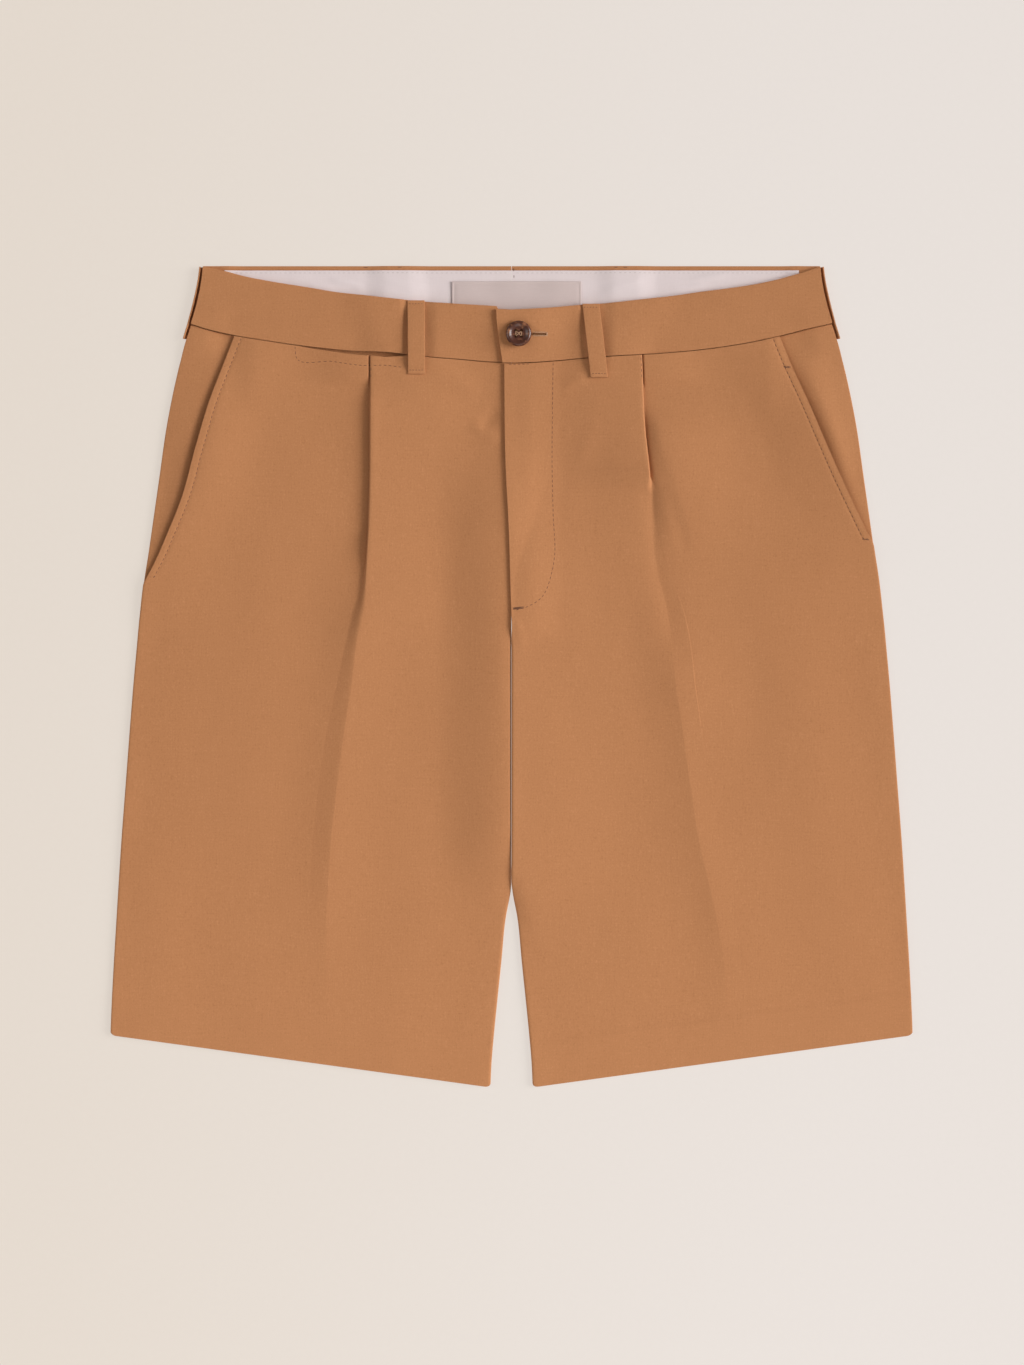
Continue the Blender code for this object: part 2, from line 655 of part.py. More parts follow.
def front_loop_grid(side):
    """A loop lies from below the seam, over the waistband, to its top edge."""
    top_out, low_out = FRONT_LOOPS[side]
    top = band_top(side, top_out) + 0.3
    rows = []
    for share in LOOP_ROWS:
        y = mix(top - LOOP_LENGTH, top, share)
        middle = mix(low_out, top_out, share)
        levels = []
        for near in (-3.0, 0.0, 3.0):
            seam = band_seam(side, middle)
            under = band_surface(side, middle, y + near)
            if y + near < seam - 0.5:
                under = front_surface(side, middle, y)
            levels.append(under)
        arch = LOOP_ARCH * math.sin(math.pi * ramp((share - 0.1) / 0.85))
        z = max(levels) + SEAM_GAP + WALL / 2 + arch
        rows.append([(side * (middle + across * LOOP_WIDTH), y, z) for across in (-0.5, 0.0, 0.5)])
    return rows


def back_loop_grid(side):
    """A loop folded flat under the back."""
    outs = [BACK_LOOP_AT + across * LOOP_WIDTH for across in (-0.5, 0.0, 0.5)]
    rows = []
    for y in (BACK_LOOP_LOW, 520.0, 532.0, 545.0, WAIST_TOP - 0.4):
        rows.append([(side * out, y, WALL / 2) for out in outs])
    return rows


SIDE_LOOP_LOW = 508.6
# Section of a side loop round the side fold: its way past the fold and its height.
SIDE_LOOP_COLUMNS = ("past_fold", "height")
SIDE_LOOP_SECTION = ((-9.0, 0.5), (-3.0, 0.5), (0.0, 0.55), (1.2, 1.1), (1.85, 2.2), (2.0, 3.3), (1.85, 4.3))


def side_loop_grid(side):
    """A loop round the side fold: flat under the back and upright beside the fold."""
    low, high = SIDE_LOOP_LOW, WAIST_TOP - 0.6
    rows = []
    for share in (0.0, 0.08, 0.2, 0.4, 0.6, 0.8, 0.92, 1.0):
        y = mix(low, high, share)
        fold = side_fold(y)
        stand = 0.35 * math.sin(math.pi * share)
        rows.append([(side * (fold + past + stand * smooth(past)), y, z) for past, z in SIDE_LOOP_SECTION])
    return rows


def placed(point):
    """Place in metres, from the origin, of a point given in millimetres from the foot of the middle line."""
    x, y, z = point
    return Vector((x, y - ORIGIN_Y, z)) * MM


def material(name, colour, roughness):
    made = bpy.data.materials.new(name)
    made.use_nodes = True
    shader = made.node_tree.nodes["Principled BSDF"]
    shader.inputs["Base Color"].default_value = colour
    shader.inputs["Roughness"].default_value = roughness
    shader.inputs["Metallic"].default_value = 0.0
    made.diffuse_color = colour
    return made


def cloth(name, rows, thickness, dress, collection):
    """A cloth wall through rows of points in millimetres, which lie in the middle of its thickness."""
    across, up = len(rows[0]) - 1, len(rows) - 1
    bm = bmesh.new()
    bmesh.ops.create_grid(bm, x_segments=across, y_segments=up, size=0.5)
    for vert in bm.verts:
        column = round((vert.co.x + 0.5) * across)
        row = round((vert.co.y + 0.5) * up)
        vert.co = placed(rows[row][column])
    bmesh.ops.recalc_face_normals(bm, faces=bm.faces)
    mesh = bpy.data.meshes.new(name)
    bm.to_mesh(mesh)
    bm.free()
    obj = bpy.data.objects.new(name, mesh)
    collection.objects.link(obj)
    solidify = obj.modifiers.new("wall", "SOLIDIFY")
    solidify.thickness = thickness * MM
    solidify.offset = 0.0
    solidify.use_even_offset = True
    mesh.materials.append(dress(name))
    mesh.shade_smooth()
    mesh.set_sharp_from_angle(angle=math.radians(40))
    return obj


def shell_cloth(name):
    return material(name + "_twill", CLOTH_COLOUR, 0.85)


def lining_cloth(name):
    return material(name + "_cotton", LINING_COLOUR, 0.8)


def label_cloth(name):
    return material(name + "_satin", LABEL_COLOUR, 0.6)


def horn(name):
    return material(name + "_horn", BUTTON_COLOUR, 0.3)


def cutter_box(name, size, place, collection):
    bpy.ops.mesh.primitive_cube_add(size=1.0, location=place)
    cutter = bpy.context.object
    cutter.name = name
    cutter.scale = size
    bpy.ops.object.transform_apply(location=False, rotation=False, scale=True)
    for owner in list(cutter.users_collection):
        owner.objects.unlink(cutter)
    collection.objects.link(cutter)
    cutter.hide_render = True
    cutter.display_type = "WIRE"
    return cutter


def cut(obj, cutter):
    boolean = obj.modifiers.new("cut_" + cutter.name, "BOOLEAN")
    boolean.operation = "DIFFERENCE"
    boolean.solver = "EXACT"
    boolean.object = cutter


# Section of the button from the middle of its face round to the middle of its back, as (share of the
# radius, share of the height).
BUTTON_PROFILE = (
    (0.0, 0.55), (0.5, 0.56), (0.64, 0.72), (0.78, 1.0), (0.9, 0.96),
    (1.0, 0.62), (0.97, 0.35), (0.78, 0.04), (0.5, 0.0), (0.0, 0.0),
)


def button(collection, cutters):
    """Four-hole button: a turned disc with a rolled rim and a dished middle, drilled through."""
    radius, height = BUTTON_DIAMETER / 2, BUTTON_HEIGHT
    mesh = bpy.data.meshes.new("button")
    points = [(x * radius * MM, 0.0, z * height * MM) for x, z in BUTTON_PROFILE]
    mesh.from_pydata(points, [(k, k + 1) for k in range(len(points) - 1)], [])
    obj = bpy.data.objects.new("button", mesh)
    collection.objects.link(obj)
    screw = obj.modifiers.new("turned", "SCREW")
    screw.steps = 32
    screw.render_steps = 32
    screw.use_merge_vertices = True
    screw.merge_threshold = 0.00001
    screw.use_smooth_shade = True
    mesh.materials.append(horn("button"))
    x, y = BUTTON_AT
    upper = band_surface(LEFT, x, y + radius)
    lower = band_surface(LEFT, x, y - radius)
    level = max(upper, lower, band_surface(LEFT, -6.0, y + radius))
    obj.location = placed((x, y, level + SEAM_GAP))
    for number, (across, up) in enumerate(((-1, -1), (1, -1), (1, 1), (-1, 1))):
        spacing = BUTTON_HOLE_SPACING / 2
        bpy.ops.mesh.primitive_cylinder_add(
            vertices=12,
            radius=BUTTON_HOLE / 2 * MM,
            depth=4 * height * MM,
            location=placed((x + across * spacing, y + up * spacing, level + height / 2)),
        )
        drill = bpy.context.object
        drill.name = "button_drill_%d" % (number + 1)
        for owner in list(drill.users_collection):
            owner.objects.unlink(drill)
        cutters.objects.link(drill)
        drill.hide_render = True
        drill.display_type = "WIRE"
        cut(obj, drill)
    return obj


def collection_named(name):
    made = bpy.data.collections.new(name)
    bpy.context.scene.collection.children.link(made)
    return made


def build():
    for obj in list(bpy.data.objects):
        bpy.data.objects.remove(obj)
    shorts = collection_named("bermuda_shorts")
    cutters = collection_named("cutters")
    for side, name in SIDE_NAMES.items():
        cloth("back_" + name, back_grid(side), BACK_WALL, shell_cloth, shorts)
        cloth("front_" + name, front_grid(side), WALL, shell_cloth, shorts)
        cloth("pocket_facing_" + name, facing_grid(side), WALL, shell_cloth, shorts)
        cloth("waistband_back_" + name, back_band_grid(side), BACK_BAND_WALL, shell_cloth, shorts)
        cloth("waistband_lining_" + name, lining_grid(side), WALL, lining_cloth, shorts)
        rows = [[band_point(side, part, share) for part in BAND_SHARES] for share in BAND_ROWS]
        band = cloth("waistband_front_" + name, rows, BAND_WALL, shell_cloth, shorts)
        if side == LEFT:
            x, y = BUTTON_AT
            slit = placed((x - BUTTONHOLE_BEHIND + BUTTONHOLE_LENGTH / 2, y, band_surface(LEFT, x, y)))
            size = Vector((BUTTONHOLE_LENGTH, BUTTONHOLE_WIDTH, 4 * BAND_WALL)) * MM
            cut(band, cutter_box("buttonhole_cutter", size, slit, cutters))
        cloth("belt_loop_front_" + name, front_loop_grid(side), WALL, shell_cloth, shorts)
        cloth("belt_loop_side_" + name, side_loop_grid(side), WALL, shell_cloth, shorts)
        cloth("belt_loop_back_" + name, back_loop_grid(side), WALL, shell_cloth, shorts)
    cloth("coin_pocket_facing", coin_facing_grid(), WALL, shell_cloth, shorts)
    cloth("label", label_grid(), WALL, label_cloth, shorts)
    button(shorts, cutters)


build()
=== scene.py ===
"""Looks of a pair of pleated bermuda shorts that lie flat on their back, front side up.

Sizes are in millimetres: x is across, y runs up the garment from the foot of the middle line, and z is the
height above the surface it lies on. "out" is the distance from the middle line, on either side. Right and
left are the wearer's, so right is at -x. `place` turns such a point into metres in the frame of the part.
"""

import json
import logging
import math
from dataclasses import dataclass, field
from enum import Enum
from typing import Any, Callable, Sequence

import bmesh
import bpy
import numpy as np
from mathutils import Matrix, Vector
from mathutils.bvhtree import BVHTree

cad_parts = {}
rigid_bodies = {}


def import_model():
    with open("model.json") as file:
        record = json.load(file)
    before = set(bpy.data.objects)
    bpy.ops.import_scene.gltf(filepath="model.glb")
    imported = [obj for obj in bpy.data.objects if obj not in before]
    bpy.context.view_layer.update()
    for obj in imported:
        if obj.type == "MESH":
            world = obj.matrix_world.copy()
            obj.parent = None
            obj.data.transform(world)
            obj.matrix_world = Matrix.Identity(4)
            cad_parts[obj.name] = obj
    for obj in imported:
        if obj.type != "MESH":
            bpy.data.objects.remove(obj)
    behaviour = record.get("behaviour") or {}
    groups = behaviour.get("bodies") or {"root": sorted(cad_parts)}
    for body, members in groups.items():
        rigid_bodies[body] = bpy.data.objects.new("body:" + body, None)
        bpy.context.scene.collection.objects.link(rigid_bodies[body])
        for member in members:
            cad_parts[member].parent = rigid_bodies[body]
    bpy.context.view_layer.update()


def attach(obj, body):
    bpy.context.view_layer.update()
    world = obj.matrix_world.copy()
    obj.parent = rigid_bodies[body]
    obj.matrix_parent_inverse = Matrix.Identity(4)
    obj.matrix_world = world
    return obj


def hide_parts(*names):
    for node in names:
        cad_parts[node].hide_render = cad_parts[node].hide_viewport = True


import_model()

MM = 0.001
ORIGIN_Y = 279.4
BODY = "root"
LOG = logging.getLogger("shorts")

Array = np.ndarray
Point = tuple[float, float]


class Side(Enum):
    """The wearer's right and left; the value is the sign of x."""

    RIGHT = -1
    LEFT = 1

    @property
    def word(self) -> str:
        """The side's name as the nodes have it."""
        return self.name.lower()


class Slot(Enum):
    """The record's material slots."""

    TWILL = "twill"
    LINING = "lining"
    LABEL = "label"
    HORN = "horn"


# ---------------------------------------------------------------------------------------------------------
# Small maths
# ---------------------------------------------------------------------------------------------------------


def smooth(value: Array | float) -> Array:
    """0 below 0, 1 above 1, and a soft step between."""
    value = np.clip(value, 0.0, 1.0)
    return value * value * (3.0 - 2.0 * value)


def fall(value: Array | float) -> Array:
    """1 below 0, 0 above 1, and a soft step between."""
    return 1.0 - smooth(value)


def ramp(value: Array | float) -> Array:
    """0 below 0, 1 above 1, and straight between."""
    return np.clip(value, 0.0, 1.0)


def mix(low: Any, high: Any, share: Any) -> Any:
    """The value at a share of the way from low to high."""
    return low + (high - low) * share


def bell(value: Array | float) -> Array:
    """1 at 0, with soft flanks that are gone by about 2."""
    return np.exp(-np.square(value))


def round_over(near: Array | float) -> Array:
    """How far a rounded edge has turned, where near is 0 at the start of the rounding and 1 at the edge."""
    return 1.0 - np.sqrt(np.clip(1.0 - np.square(near), 0.0, 1.0))


def settle(height_at: Callable, out_at: Callable, start: float) -> Array:
    """Height at which a leaning column meets a line whose height depends on the distance out.

    Args:
        height_at: The line's height at a distance out.
        out_at: The column's distance out at a height.
        start: A first guess of the height.

    Returns:
        The height, as an array of one value.
    """
    y = np.array([start])
    for _ in range(8):
        y = height_at(out_at(y))
    return y


def ripple(seed: int, length: float, height: float, x: Array, y: Array, stretch: float = 1.0) -> Array:
    """Soft seeded unevenness of cloth.

    Args:
        seed: Number that the waves are drawn from.
        length: Usual distance between two crests, in mm.
        height: Usual height, in mm.
        x: Places across.
        y: Places up.
        stretch: How much longer the waves are up the cloth than across it.

    Returns:
        The height at each place.
    """
    total = np.zeros(np.broadcast(x, y).shape)
    waves = np.random.default_rng(seed).uniform(0.0, 1.0, (9, 3))
    for turn, phase, size in waves:
        pace = 2 * math.pi / (length * (0.65 + 0.9 * size))
        along = x * math.cos(turn * math.pi) + y * math.sin(turn * math.pi) / stretch
        total += np.sin(pace * along + 2 * math.pi * phase)
    return total * height / 3.0


class Line:
    """A smooth line through (place, value) points, flat beyond both ends."""

    def __init__(self, points: Sequence[Point]) -> None:
        """Args: points: the (place, value) points, in any order."""
        self.places, self.values = np.array(sorted(points), float).T
        self.slopes = np.gradient(self.values, self.places)

    def __call__(self, at: Array | float) -> Array:
        """The value at each place."""
        at = np.clip(at, self.places[0], self.places[-1])
        k = np.clip(np.searchsorted(self.places, at) - 1, 0, len(self.places) - 2)
        span = self.places[k + 1] - self.places[k]
        t = (at - self.places[k]) / span
        start = (1 + 2 * t) * (1 - t) ** 2 * self.values[k] + t * (1 - t) ** 2 * span * self.slopes[k]
        end = t * t * (3 - 2 * t) * self.values[k + 1] + t * t * (t - 1) * span * self.slopes[k + 1]
        return start + end


def place(points: Array) -> Array:
    """Points in mm from the foot of the middle line, as metres in the frame of the part."""
    return (np.asarray(points, float) - (0.0, ORIGIN_Y, 0.0)) * MM


# ---------------------------------------------------------------------------------------------------------
# The garment's cut and the way it lies
# ---------------------------------------------------------------------------------------------------------


@dataclass(frozen=True)
class Fold:
    """One soft crease or trough at a given place, which dies out at both of its ends."""

    start: Point
    end: Point
    height: float
    width: float
    bow: float = 0.0

    def relief(self, x: Array, y: Array) -> Array:
        """Its height at each place, below 0 for a trough."""
        ahead = np.array(self.end) - np.array(self.start)
        length = float(np.hypot(*ahead))
        along = ((x - self.start[0]) * ahead[0] + (y - self.start[1]) * ahead[1]) / length**2
        aside = ((y - self.start[1]) * ahead[0] - (x - self.start[0]) * ahead[1]) / length
        aside = aside - self.bow * 4 * along * (1 - along)
        return self.height * bell(aside / self.width) * smooth(along / 0.3) * smooth((1 - along) / 0.3)


@dataclass(frozen=True)
class Roll:
    """A long soft roll of the laid cloth on one side, with its crest's run and how far it fades both ways."""

    side: Side
    low: float
    high: float
    at_low: float
    at_high: float
    height: float
    inner_fade: float
    outer_fade: float

    def relief(self, side: Side, out: Array, y: Array) -> Array:
        """Its height at each place of that side."""
        if side is not self.side:
            return 0.0 * out
        along = (y - self.low) / (self.high - self.low)
        ends = smooth(along / 0.2) * smooth((1.0 - along) / 0.25)
        at = mix(self.at_low, self.at_high, along)
        fade = np.where(out > at, self.outer_fade, self.inner_fade)
        return self.height * ends * fall(np.abs(out - at) / fade)


SECTION_COLUMNS = ("y", "half_width", "inner_edge", "crease_right", "crease_left", "fold_depth", "fold_turn")
SECTIONS = (
    (519.0, 217.5, 0.15, 96.2, 88.0, 16.0, 180.0),
    (505.0, 222.0, 0.15, 96.2, 88.3, 16.0, 180.0),
    (483.0, 227.5, 0.15, 96.2, 89.2, 15.5, 180.0),
    (451.0, 234.0, 0.15, 96.4, 90.6, 14.0, 180.0),
    (413.0, 239.5, 0.15, 96.6, 94.4, 11.0, 180.0),
    (385.0, 243.5, 0.15, 97.4, 95.8, 8.0, 180.0),
    (362.0, 246.8, 0.15, 98.6, 97.4, 5.0, 180.0),
    (345.0, 249.5, 0.15, 100.1, 100.6, 2.6, 178.0),
    (334.0, 250.9, 0.15, 101.5, 103.8, 1.4, 140.0),
    (324.0, 252.0, 0.15, 103.0, 106.0, 1.0, 92.0),
    (313.0, 253.2, 0.15, 104.8, 107.8, 1.2, 58.0),
    (300.0, 254.4, 0.15, 106.6, 109.2, 2.0, 34.0),
    (277.0, 256.5, 0.15, 109.0, 111.2, 5.0, 14.0),
    (246.0, 259.0, 0.15, 113.4, 115.8, 9.0, 5.5),
    (205.0, 262.1, 0.15, 118.8, 121.6, 12.0, 2.4),
    (168.0, 264.9, 0.15, 122.8, 127.4, 12.0, 1.6),
    (137.0, 266.9, 0.30, 125.0, 134.6, 12.0, 1.5),
    (114.0, 268.3, 4.40, 125.8, 139.6, 12.0, 1.1),
    (86.0, 270.0, 7.10, 126.0, 144.2, 12.0, 0.8),
    (59.0, 271.4, 9.90, 125.6, 146.4, 12.0, 0.6),
    (35.0, 272.3, 12.30, 125.2, 148.4, 12.0, 0.5),
    (16.0, 272.5, 13.90, 125.0, 149.4, 12.0, 0.5),
    (0.0, 272.5, 14.60, 125.0, 150.0, 12.0, 0.5),
)
POCKET_EDGES = {
    Side.RIGHT: ((515.0, 186.4), (489.6, 196.2), (466.5, 205.0), (434.5, 214.5), (399.0, 224.4),
                 (375.4, 234.0), (356.0, 242.6), (343.0, 249.6)),
    Side.LEFT: ((515.0, 180.0), (490.3, 190.0), (465.0, 201.6), (434.5, 214.7), (410.0, 225.6),
                (389.6, 235.4), (378.0, 241.0), (369.0, 245.8)),
}
ROLLS = (
    Roll(Side.RIGHT, 112.0, 470.0, 6.0, 6.0, 4.2, 34.0, 46.0),
    Roll(Side.LEFT, 92.0, 420.0, 0.0, 0.0, 3.6, 6.0, 90.0),
    Roll(Side.RIGHT, 120.0, 470.0, 190.0, 165.0, 0.7, 60.0, 50.0),
    Roll(Side.LEFT, 60.0, 420.0, 205.0, 190.0, 0.8, 60.0, 45.0),
    Roll(Side.LEFT, 220.0, 480.0, 110.0, 96.0, 1.2, 55.0, 60.0),
)
# How much higher up than the sections say the pleat opens out on each side.
PLEAT_SHIFT = {Side.RIGHT: 32.0, Side.LEFT: 88.0}
# How much of its turn the cloth keeps on each side where the pleat has opened out.
OPEN_TURN = {Side.RIGHT: 1.0, Side.LEFT: 0.12}
BAND_TOPS = {
    Side.RIGHT: ((0.0, 529.8), (25.0, 531.3), (55.0, 533.2), (79.0, 535.5), (100.0, 537.9), (120.0, 540.2),
                 (140.0, 543.6), (161.0, 546.9), (181.0, 550.7), (195.0, 554.4), (211.0, 557.8)),
    Side.LEFT: ((0.0, 527.8), (23.0, 529.1), (43.0, 531.0), (67.0, 532.7), (87.0, 534.9), (108.0, 537.3),
                (128.0, 540.2), (149.0, 542.9), (169.0, 546.1), (180.0, 548.5), (190.0, 551.2),
                (200.0, 554.2), (211.0, 557.8)),
}
BAND_SEAMS = {
    Side.RIGHT: ((0.0, 492.5), (15.0, 492.9), (35.0, 494.6), (55.0, 496.1), (70.0, 497.6), (83.0, 499.1),
                 (110.0, 500.4), (130.0, 502.4), (147.0, 504.4), (168.0, 507.5), (188.0, 510.8),
                 (208.0, 515.4), (217.5, 518.4)),
    Side.LEFT: ((0.0, 491.9), (12.6, 492.3), (33.0, 493.8), (50.0, 495.3), (67.0, 496.6), (87.0, 497.7),
                (108.0, 499.1), (128.0, 501.1), (149.0, 503.9), (169.0, 507.4), (189.0, 512.2),
                (200.0, 515.0), (217.0, 518.8)),
}
BAND_SIDE = ((519.0, 217.5), (534.5, 213.4), (550.0, 210.4), (558.0, 209.6))
TAB_EDGE = ((493.0, -6.3), (511.4, -8.8), (527.0, -10.5), (531.0, -10.6))
FLY_EDGE = ((493.0, -5.0), (425.0, -4.2), (378.0, -1.9), (326.0, -0.3), (316.0, 0.15))


@dataclass(frozen=True)
class Cut:
    """The sizes and lines that all the pieces share, and how the cloth lies between them."""

    waist_top: float = 558.0
    back_band_low: float = 519.0
    back_strip: float = 2.0
    front_floor: float = 1.6
    back_wall: float = 1.1
    back_band_wall: float = 1.5
    band_wall: float = 2.0
    seam_gap: float = 0.3
    seam_groove: float = 0.8
    turn_radius: float = 0.7
    open_radius: float = 8.0
    fold_wall: float = 1.0
    fly_end: float = 322.0
    fly_underlap: float = 6.0
    tab_cover: float = 3.6
    fly_lift: float = 1.8
    hem_outer_y: float = 35.4
    hem_corner: float = 3.5
    hem_rounding: float = 0.7
    hem_turn: float = 30.0
    loop_lift: float = 1.35
    loop_width: float = 11.6
    loop_room: float = 0.6
    loop_ramp: float = 16.0
    back_loop_at: float = 78.0
    back_loop_low: float = 508.0
    facing_tuck: float = 22.0
    facing_gap: float = 0.4
    pocket_gape: float = 2.3
    coin_inner: float = 70.0
    coin_outer: float = 144.0
    coin_sag: float = 3.0
    coin_sag_at: float = 85.0
    side_insets: tuple[float, ...] = (14.8, 11.3, 5.5, 0.3)
    button_height: float = 511.4
    stitch_inset: float = 5.4
    edge_turn: float = 1.6
    seat_height: float = 1.2
    seat_low: float = 440.0
    seat_outer: float = 172.0
    pad_height: float = 1.6
    pad_below: float = 44.0
    gape_reach: float = 46.0
    pleat_open: float = 312.0
    # Steps up and down of the front waistband over the layers below it.
    band_low: float = 1.2
    band_step: float = 2.1
    band_high: tuple[float, float] = (4.5, 3.2)
    band_side_from: float = 190.0
    # The legs part from here down, and the seam changes over this run above it.
    crotch: float = 300.0
    crotch_run: float = 16.0
    lines: dict[str, Line] = field(default_factory=dict)

    def __post_init__(self) -> None:
        """Fits the smooth lines through the tables."""
        for k, name in enumerate(SECTION_COLUMNS):
            self.lines[name] = Line([(row[0], row[k]) for row in SECTIONS])
        for side, points in POCKET_EDGES.items():
            self.lines["pocket_" + side.word] = Line(points)
            self.lines["band_top_" + side.word] = Line(BAND_TOPS[side])
            self.lines["band_seam_" + side.word] = Line(BAND_SEAMS[side])
        self.lines["band_side"] = Line(BAND_SIDE)
        self.lines["tab_edge"] = Line(TAB_EDGE)
        self.lines["fly_edge"] = Line(FLY_EDGE)

    def crease(self, side: Side, y: Array) -> Array:
        """Where the pleat's fold edge, and below it the pressed crease, runs."""
        return self.lines["crease_" + side.word](y)

    def band_seam(self, side: Side, out: Array) -> Array:
        """Height of the seam between waistband and front."""
        return self.lines["band_seam_" + side.word](np.abs(out))

    def band_top(self, side: Side, out: Array) -> Array:
        """Height of the front waistband's top edge; the right half's end lies lower, hidden by the tab."""
        hidden = self.tab_cover * smooth((10.3 - np.abs(out)) / 2.0) if side is Side.RIGHT else 0.0
        return self.lines["band_top_" + side.word](np.abs(out)) - hidden

    def legs(self, y: Array) -> Array:
        """1 over the legs and 0 above the crotch."""
        return fall((y - self.crotch) / self.crotch_run)

    def side_fold(self, y: Array) -> Array:
        """Half the garment's width at each height."""
        return np.where(y > self.back_band_low, self.lines["band_side"](y), self.lines["half_width"](y))

    def pocket_edge(self, side: Side, y: Array) -> Array:
        """Distance out of the slant pocket's edge."""
        return self.lines["pocket_" + side.word](y)

    def pocket_low(self, side: Side) -> float:
        """Height at which the slant pocket ends at the side seam."""
        return POCKET_EDGES[side][-1][0]

    def hem_height(self, out: Array) -> Array:
        """Height of the hem line, with its two corners rounded off."""
        inner = self.lines["inner_edge"](0.0)
        outer = self.lines["half_width"](self.hem_outer_y)
        line = self.hem_outer_y * (out - inner) / (outer - inner)
        near = np.minimum(outer - out, out - inner)
        rounded = round_over(ramp(1.0 - near / self.hem_corner))
        return line + self.hem_corner * self.hem_rounding * rounded

    def inner_edge(self, side: Side, y: Array) -> Array:
        """Inner edge of a front, as a distance out: below 0 it passes the middle."""
        edge = self.lines["inner_edge"](y)
        if side is Side.LEFT:
            return np.where(y < 316.0, np.maximum(edge, 0.15), self.lines["fly_edge"](y))
        return mix(edge, -self.fly_underlap, smooth((y - self.fly_end - 3.0) / 12.0))

    def outer_edge(self, side: Side, y: Array) -> Array:
        """Outer edge of a front: the slant pocket's edge, and the side seam below it."""
        half = self.lines["half_width"](y)
        return np.where(y <= self.pocket_low(side), half, np.minimum(self.pocket_edge(side, y), half))

    def seat_rise(self, out: Array, y: Array) -> Array:
        """How far the front lies up on the waistband's layers near its top seam."""
        return self.seat_height * smooth((y - self.seat_low) / 48.0) * fall((out - self.seat_outer) / 20.0)

    def pocket_pad(self, side: Side, out: Array, y: Array) -> Array:
        """How far the front is held up by the pocket facing, and by the mouth that gapes a little."""
        low = self.pocket_low(side)
        edge = self.pocket_edge(side, y)
        along_side = smooth((y - low + self.pad_below) / 40.0)
        pad = self.pad_height * smooth((out - edge + 64.0) / 60.0) * along_side
        along = np.clip((y - low) / (self.band_seam(side, edge) - low), 0.0, 1.0)
        gape = self.pocket_gape * np.sin(math.pi * along) * smooth((out - edge + self.gape_reach) / 45.0)
        return np.where(y < low - self.pad_below, 0.0, pad + gape)

    def edge_fall(self, out: Array, y: Array) -> Array:
        """1 over the leg and 0 at its side and inner edges, where the rolls die out."""
        side_room = self.lines["half_width"](y) - out
        inner_room = out - self.lines["inner_edge"](y)
        low_leg = fall((y - 112.0) / 40.0)
        return smooth(side_room / 12.0) * mix(1.0, smooth((inner_room + 3.0) / 12.0), low_leg)

    def ground(self, side: Side, out: Array, y: Array) -> Array:
        """Middle of the front wall's thickness where it lies flat, without the pleat."""
        relief = sum(roll.relief(side, out, y) for roll in ROLLS) * self.edge_fall(out, y)
        if side is Side.LEFT:
            # The overlap rests on the right front below it.
            over = smooth((y - self.fly_end + 22.0) / 16.0) * fall((out - self.fly_underlap - 4.0) / 26.0)
            below = sum(roll.relief(Side.RIGHT, -out, y) for roll in ROLLS)
            relief = mix(relief, np.maximum(relief, below) + self.fly_lift, over)
        flat = self.front_floor + self.fold_wall / 2
        return flat + self.seat_rise(out, y) + self.pocket_pad(side, out, y) + relief

    def turn(self, side: Side, y: Array) -> Array:
        """How far the cloth turns at the pleat's fold edge, in radians: pi is folded flat."""
        height = self.pleat_height(side, y)
        kept = mix(OPEN_TURN[side], 1.0, smooth((height - self.pleat_open) / 33.0))
        return np.radians(self.lines["fold_turn"](height)) * kept

    def depth(self, side: Side, y: Array) -> Array:
        """Depth of the pleat's fold."""
        return self.lines["fold_depth"](self.pleat_height(side, y))

    def pleat_height(self, side: Side, y: Array) -> Array:
        """The height in the sections that tells how the pleat lies at a height."""
        return y - PLEAT_SHIFT[side] * smooth((y - 120.0) / 170.0) * fall((y - 400.0) / 100.0)

    def radius(self, side: Side, y: Array) -> Array:
        """Radius of the pleat's turns: tight where it is folded flat, and wider the more it opens."""
        return np.clip(0.75 / (1.0 - np.cos(self.turn(side, y))), self.turn_radius, self.open_radius)

    def fold_start(self, side: Side, y: Array) -> Array:
        """Where the cloth above the fold edge starts to turn down."""
        turning = np.sin(np.minimum(self.turn(side, y), math.pi / 2))
        return self.crease(side, y) - self.radius(side, y) * turning - self.fold_wall / 2

    def pleat_drop(self, side: Side, y: Array) -> Array:
        """Height between the cloth above the fold edge and the cloth below it."""
        turn = self.turn(side, y)
        return 2 * self.radius(side, y) * (1 - np.cos(turn)) + self.depth(side, y) * np.sin(turn)

    def pleat_reach(self, side: Side, y: Array) -> Array:
        """How far under itself the cloth doubles back."""
        return np.maximum(0.0, -self.depth(side, y) * np.cos(self.turn(side, y)))

    def inner_height(self, side: Side, out: Array, y: Array) -> Array:
        """Middle of the front wall between its inner edge and the pleat."""
        crease = self.crease(side, y)
        flat_from = crease - self.pleat_reach(side, y)
        fade = fall((flat_from - 2.0 - out) / 62.0)
        ground = self.ground(side, np.minimum(out, flat_from), y)
        at_fold = self.ground(side, crease, y) - self.ground(side, flat_from, y)
        return ground + (self.pleat_drop(side, y) + at_fold) * fade

    def coin_droop(self, side: Side, out: Array) -> Array:
        """How far the right front's top edge hangs open below the waistband at the coin pocket."""
        ends = np.where(out < self.coin_sag_at, self.coin_inner, self.coin_outer)
        droop = self.coin_sag * np.power(ramp((out - ends) / (self.coin_sag_at - ends)), 0.8)
        inside = (out > self.coin_inner) & (out < self.coin_outer)
        return np.where(inside & (side is Side.RIGHT), droop, 0.0)

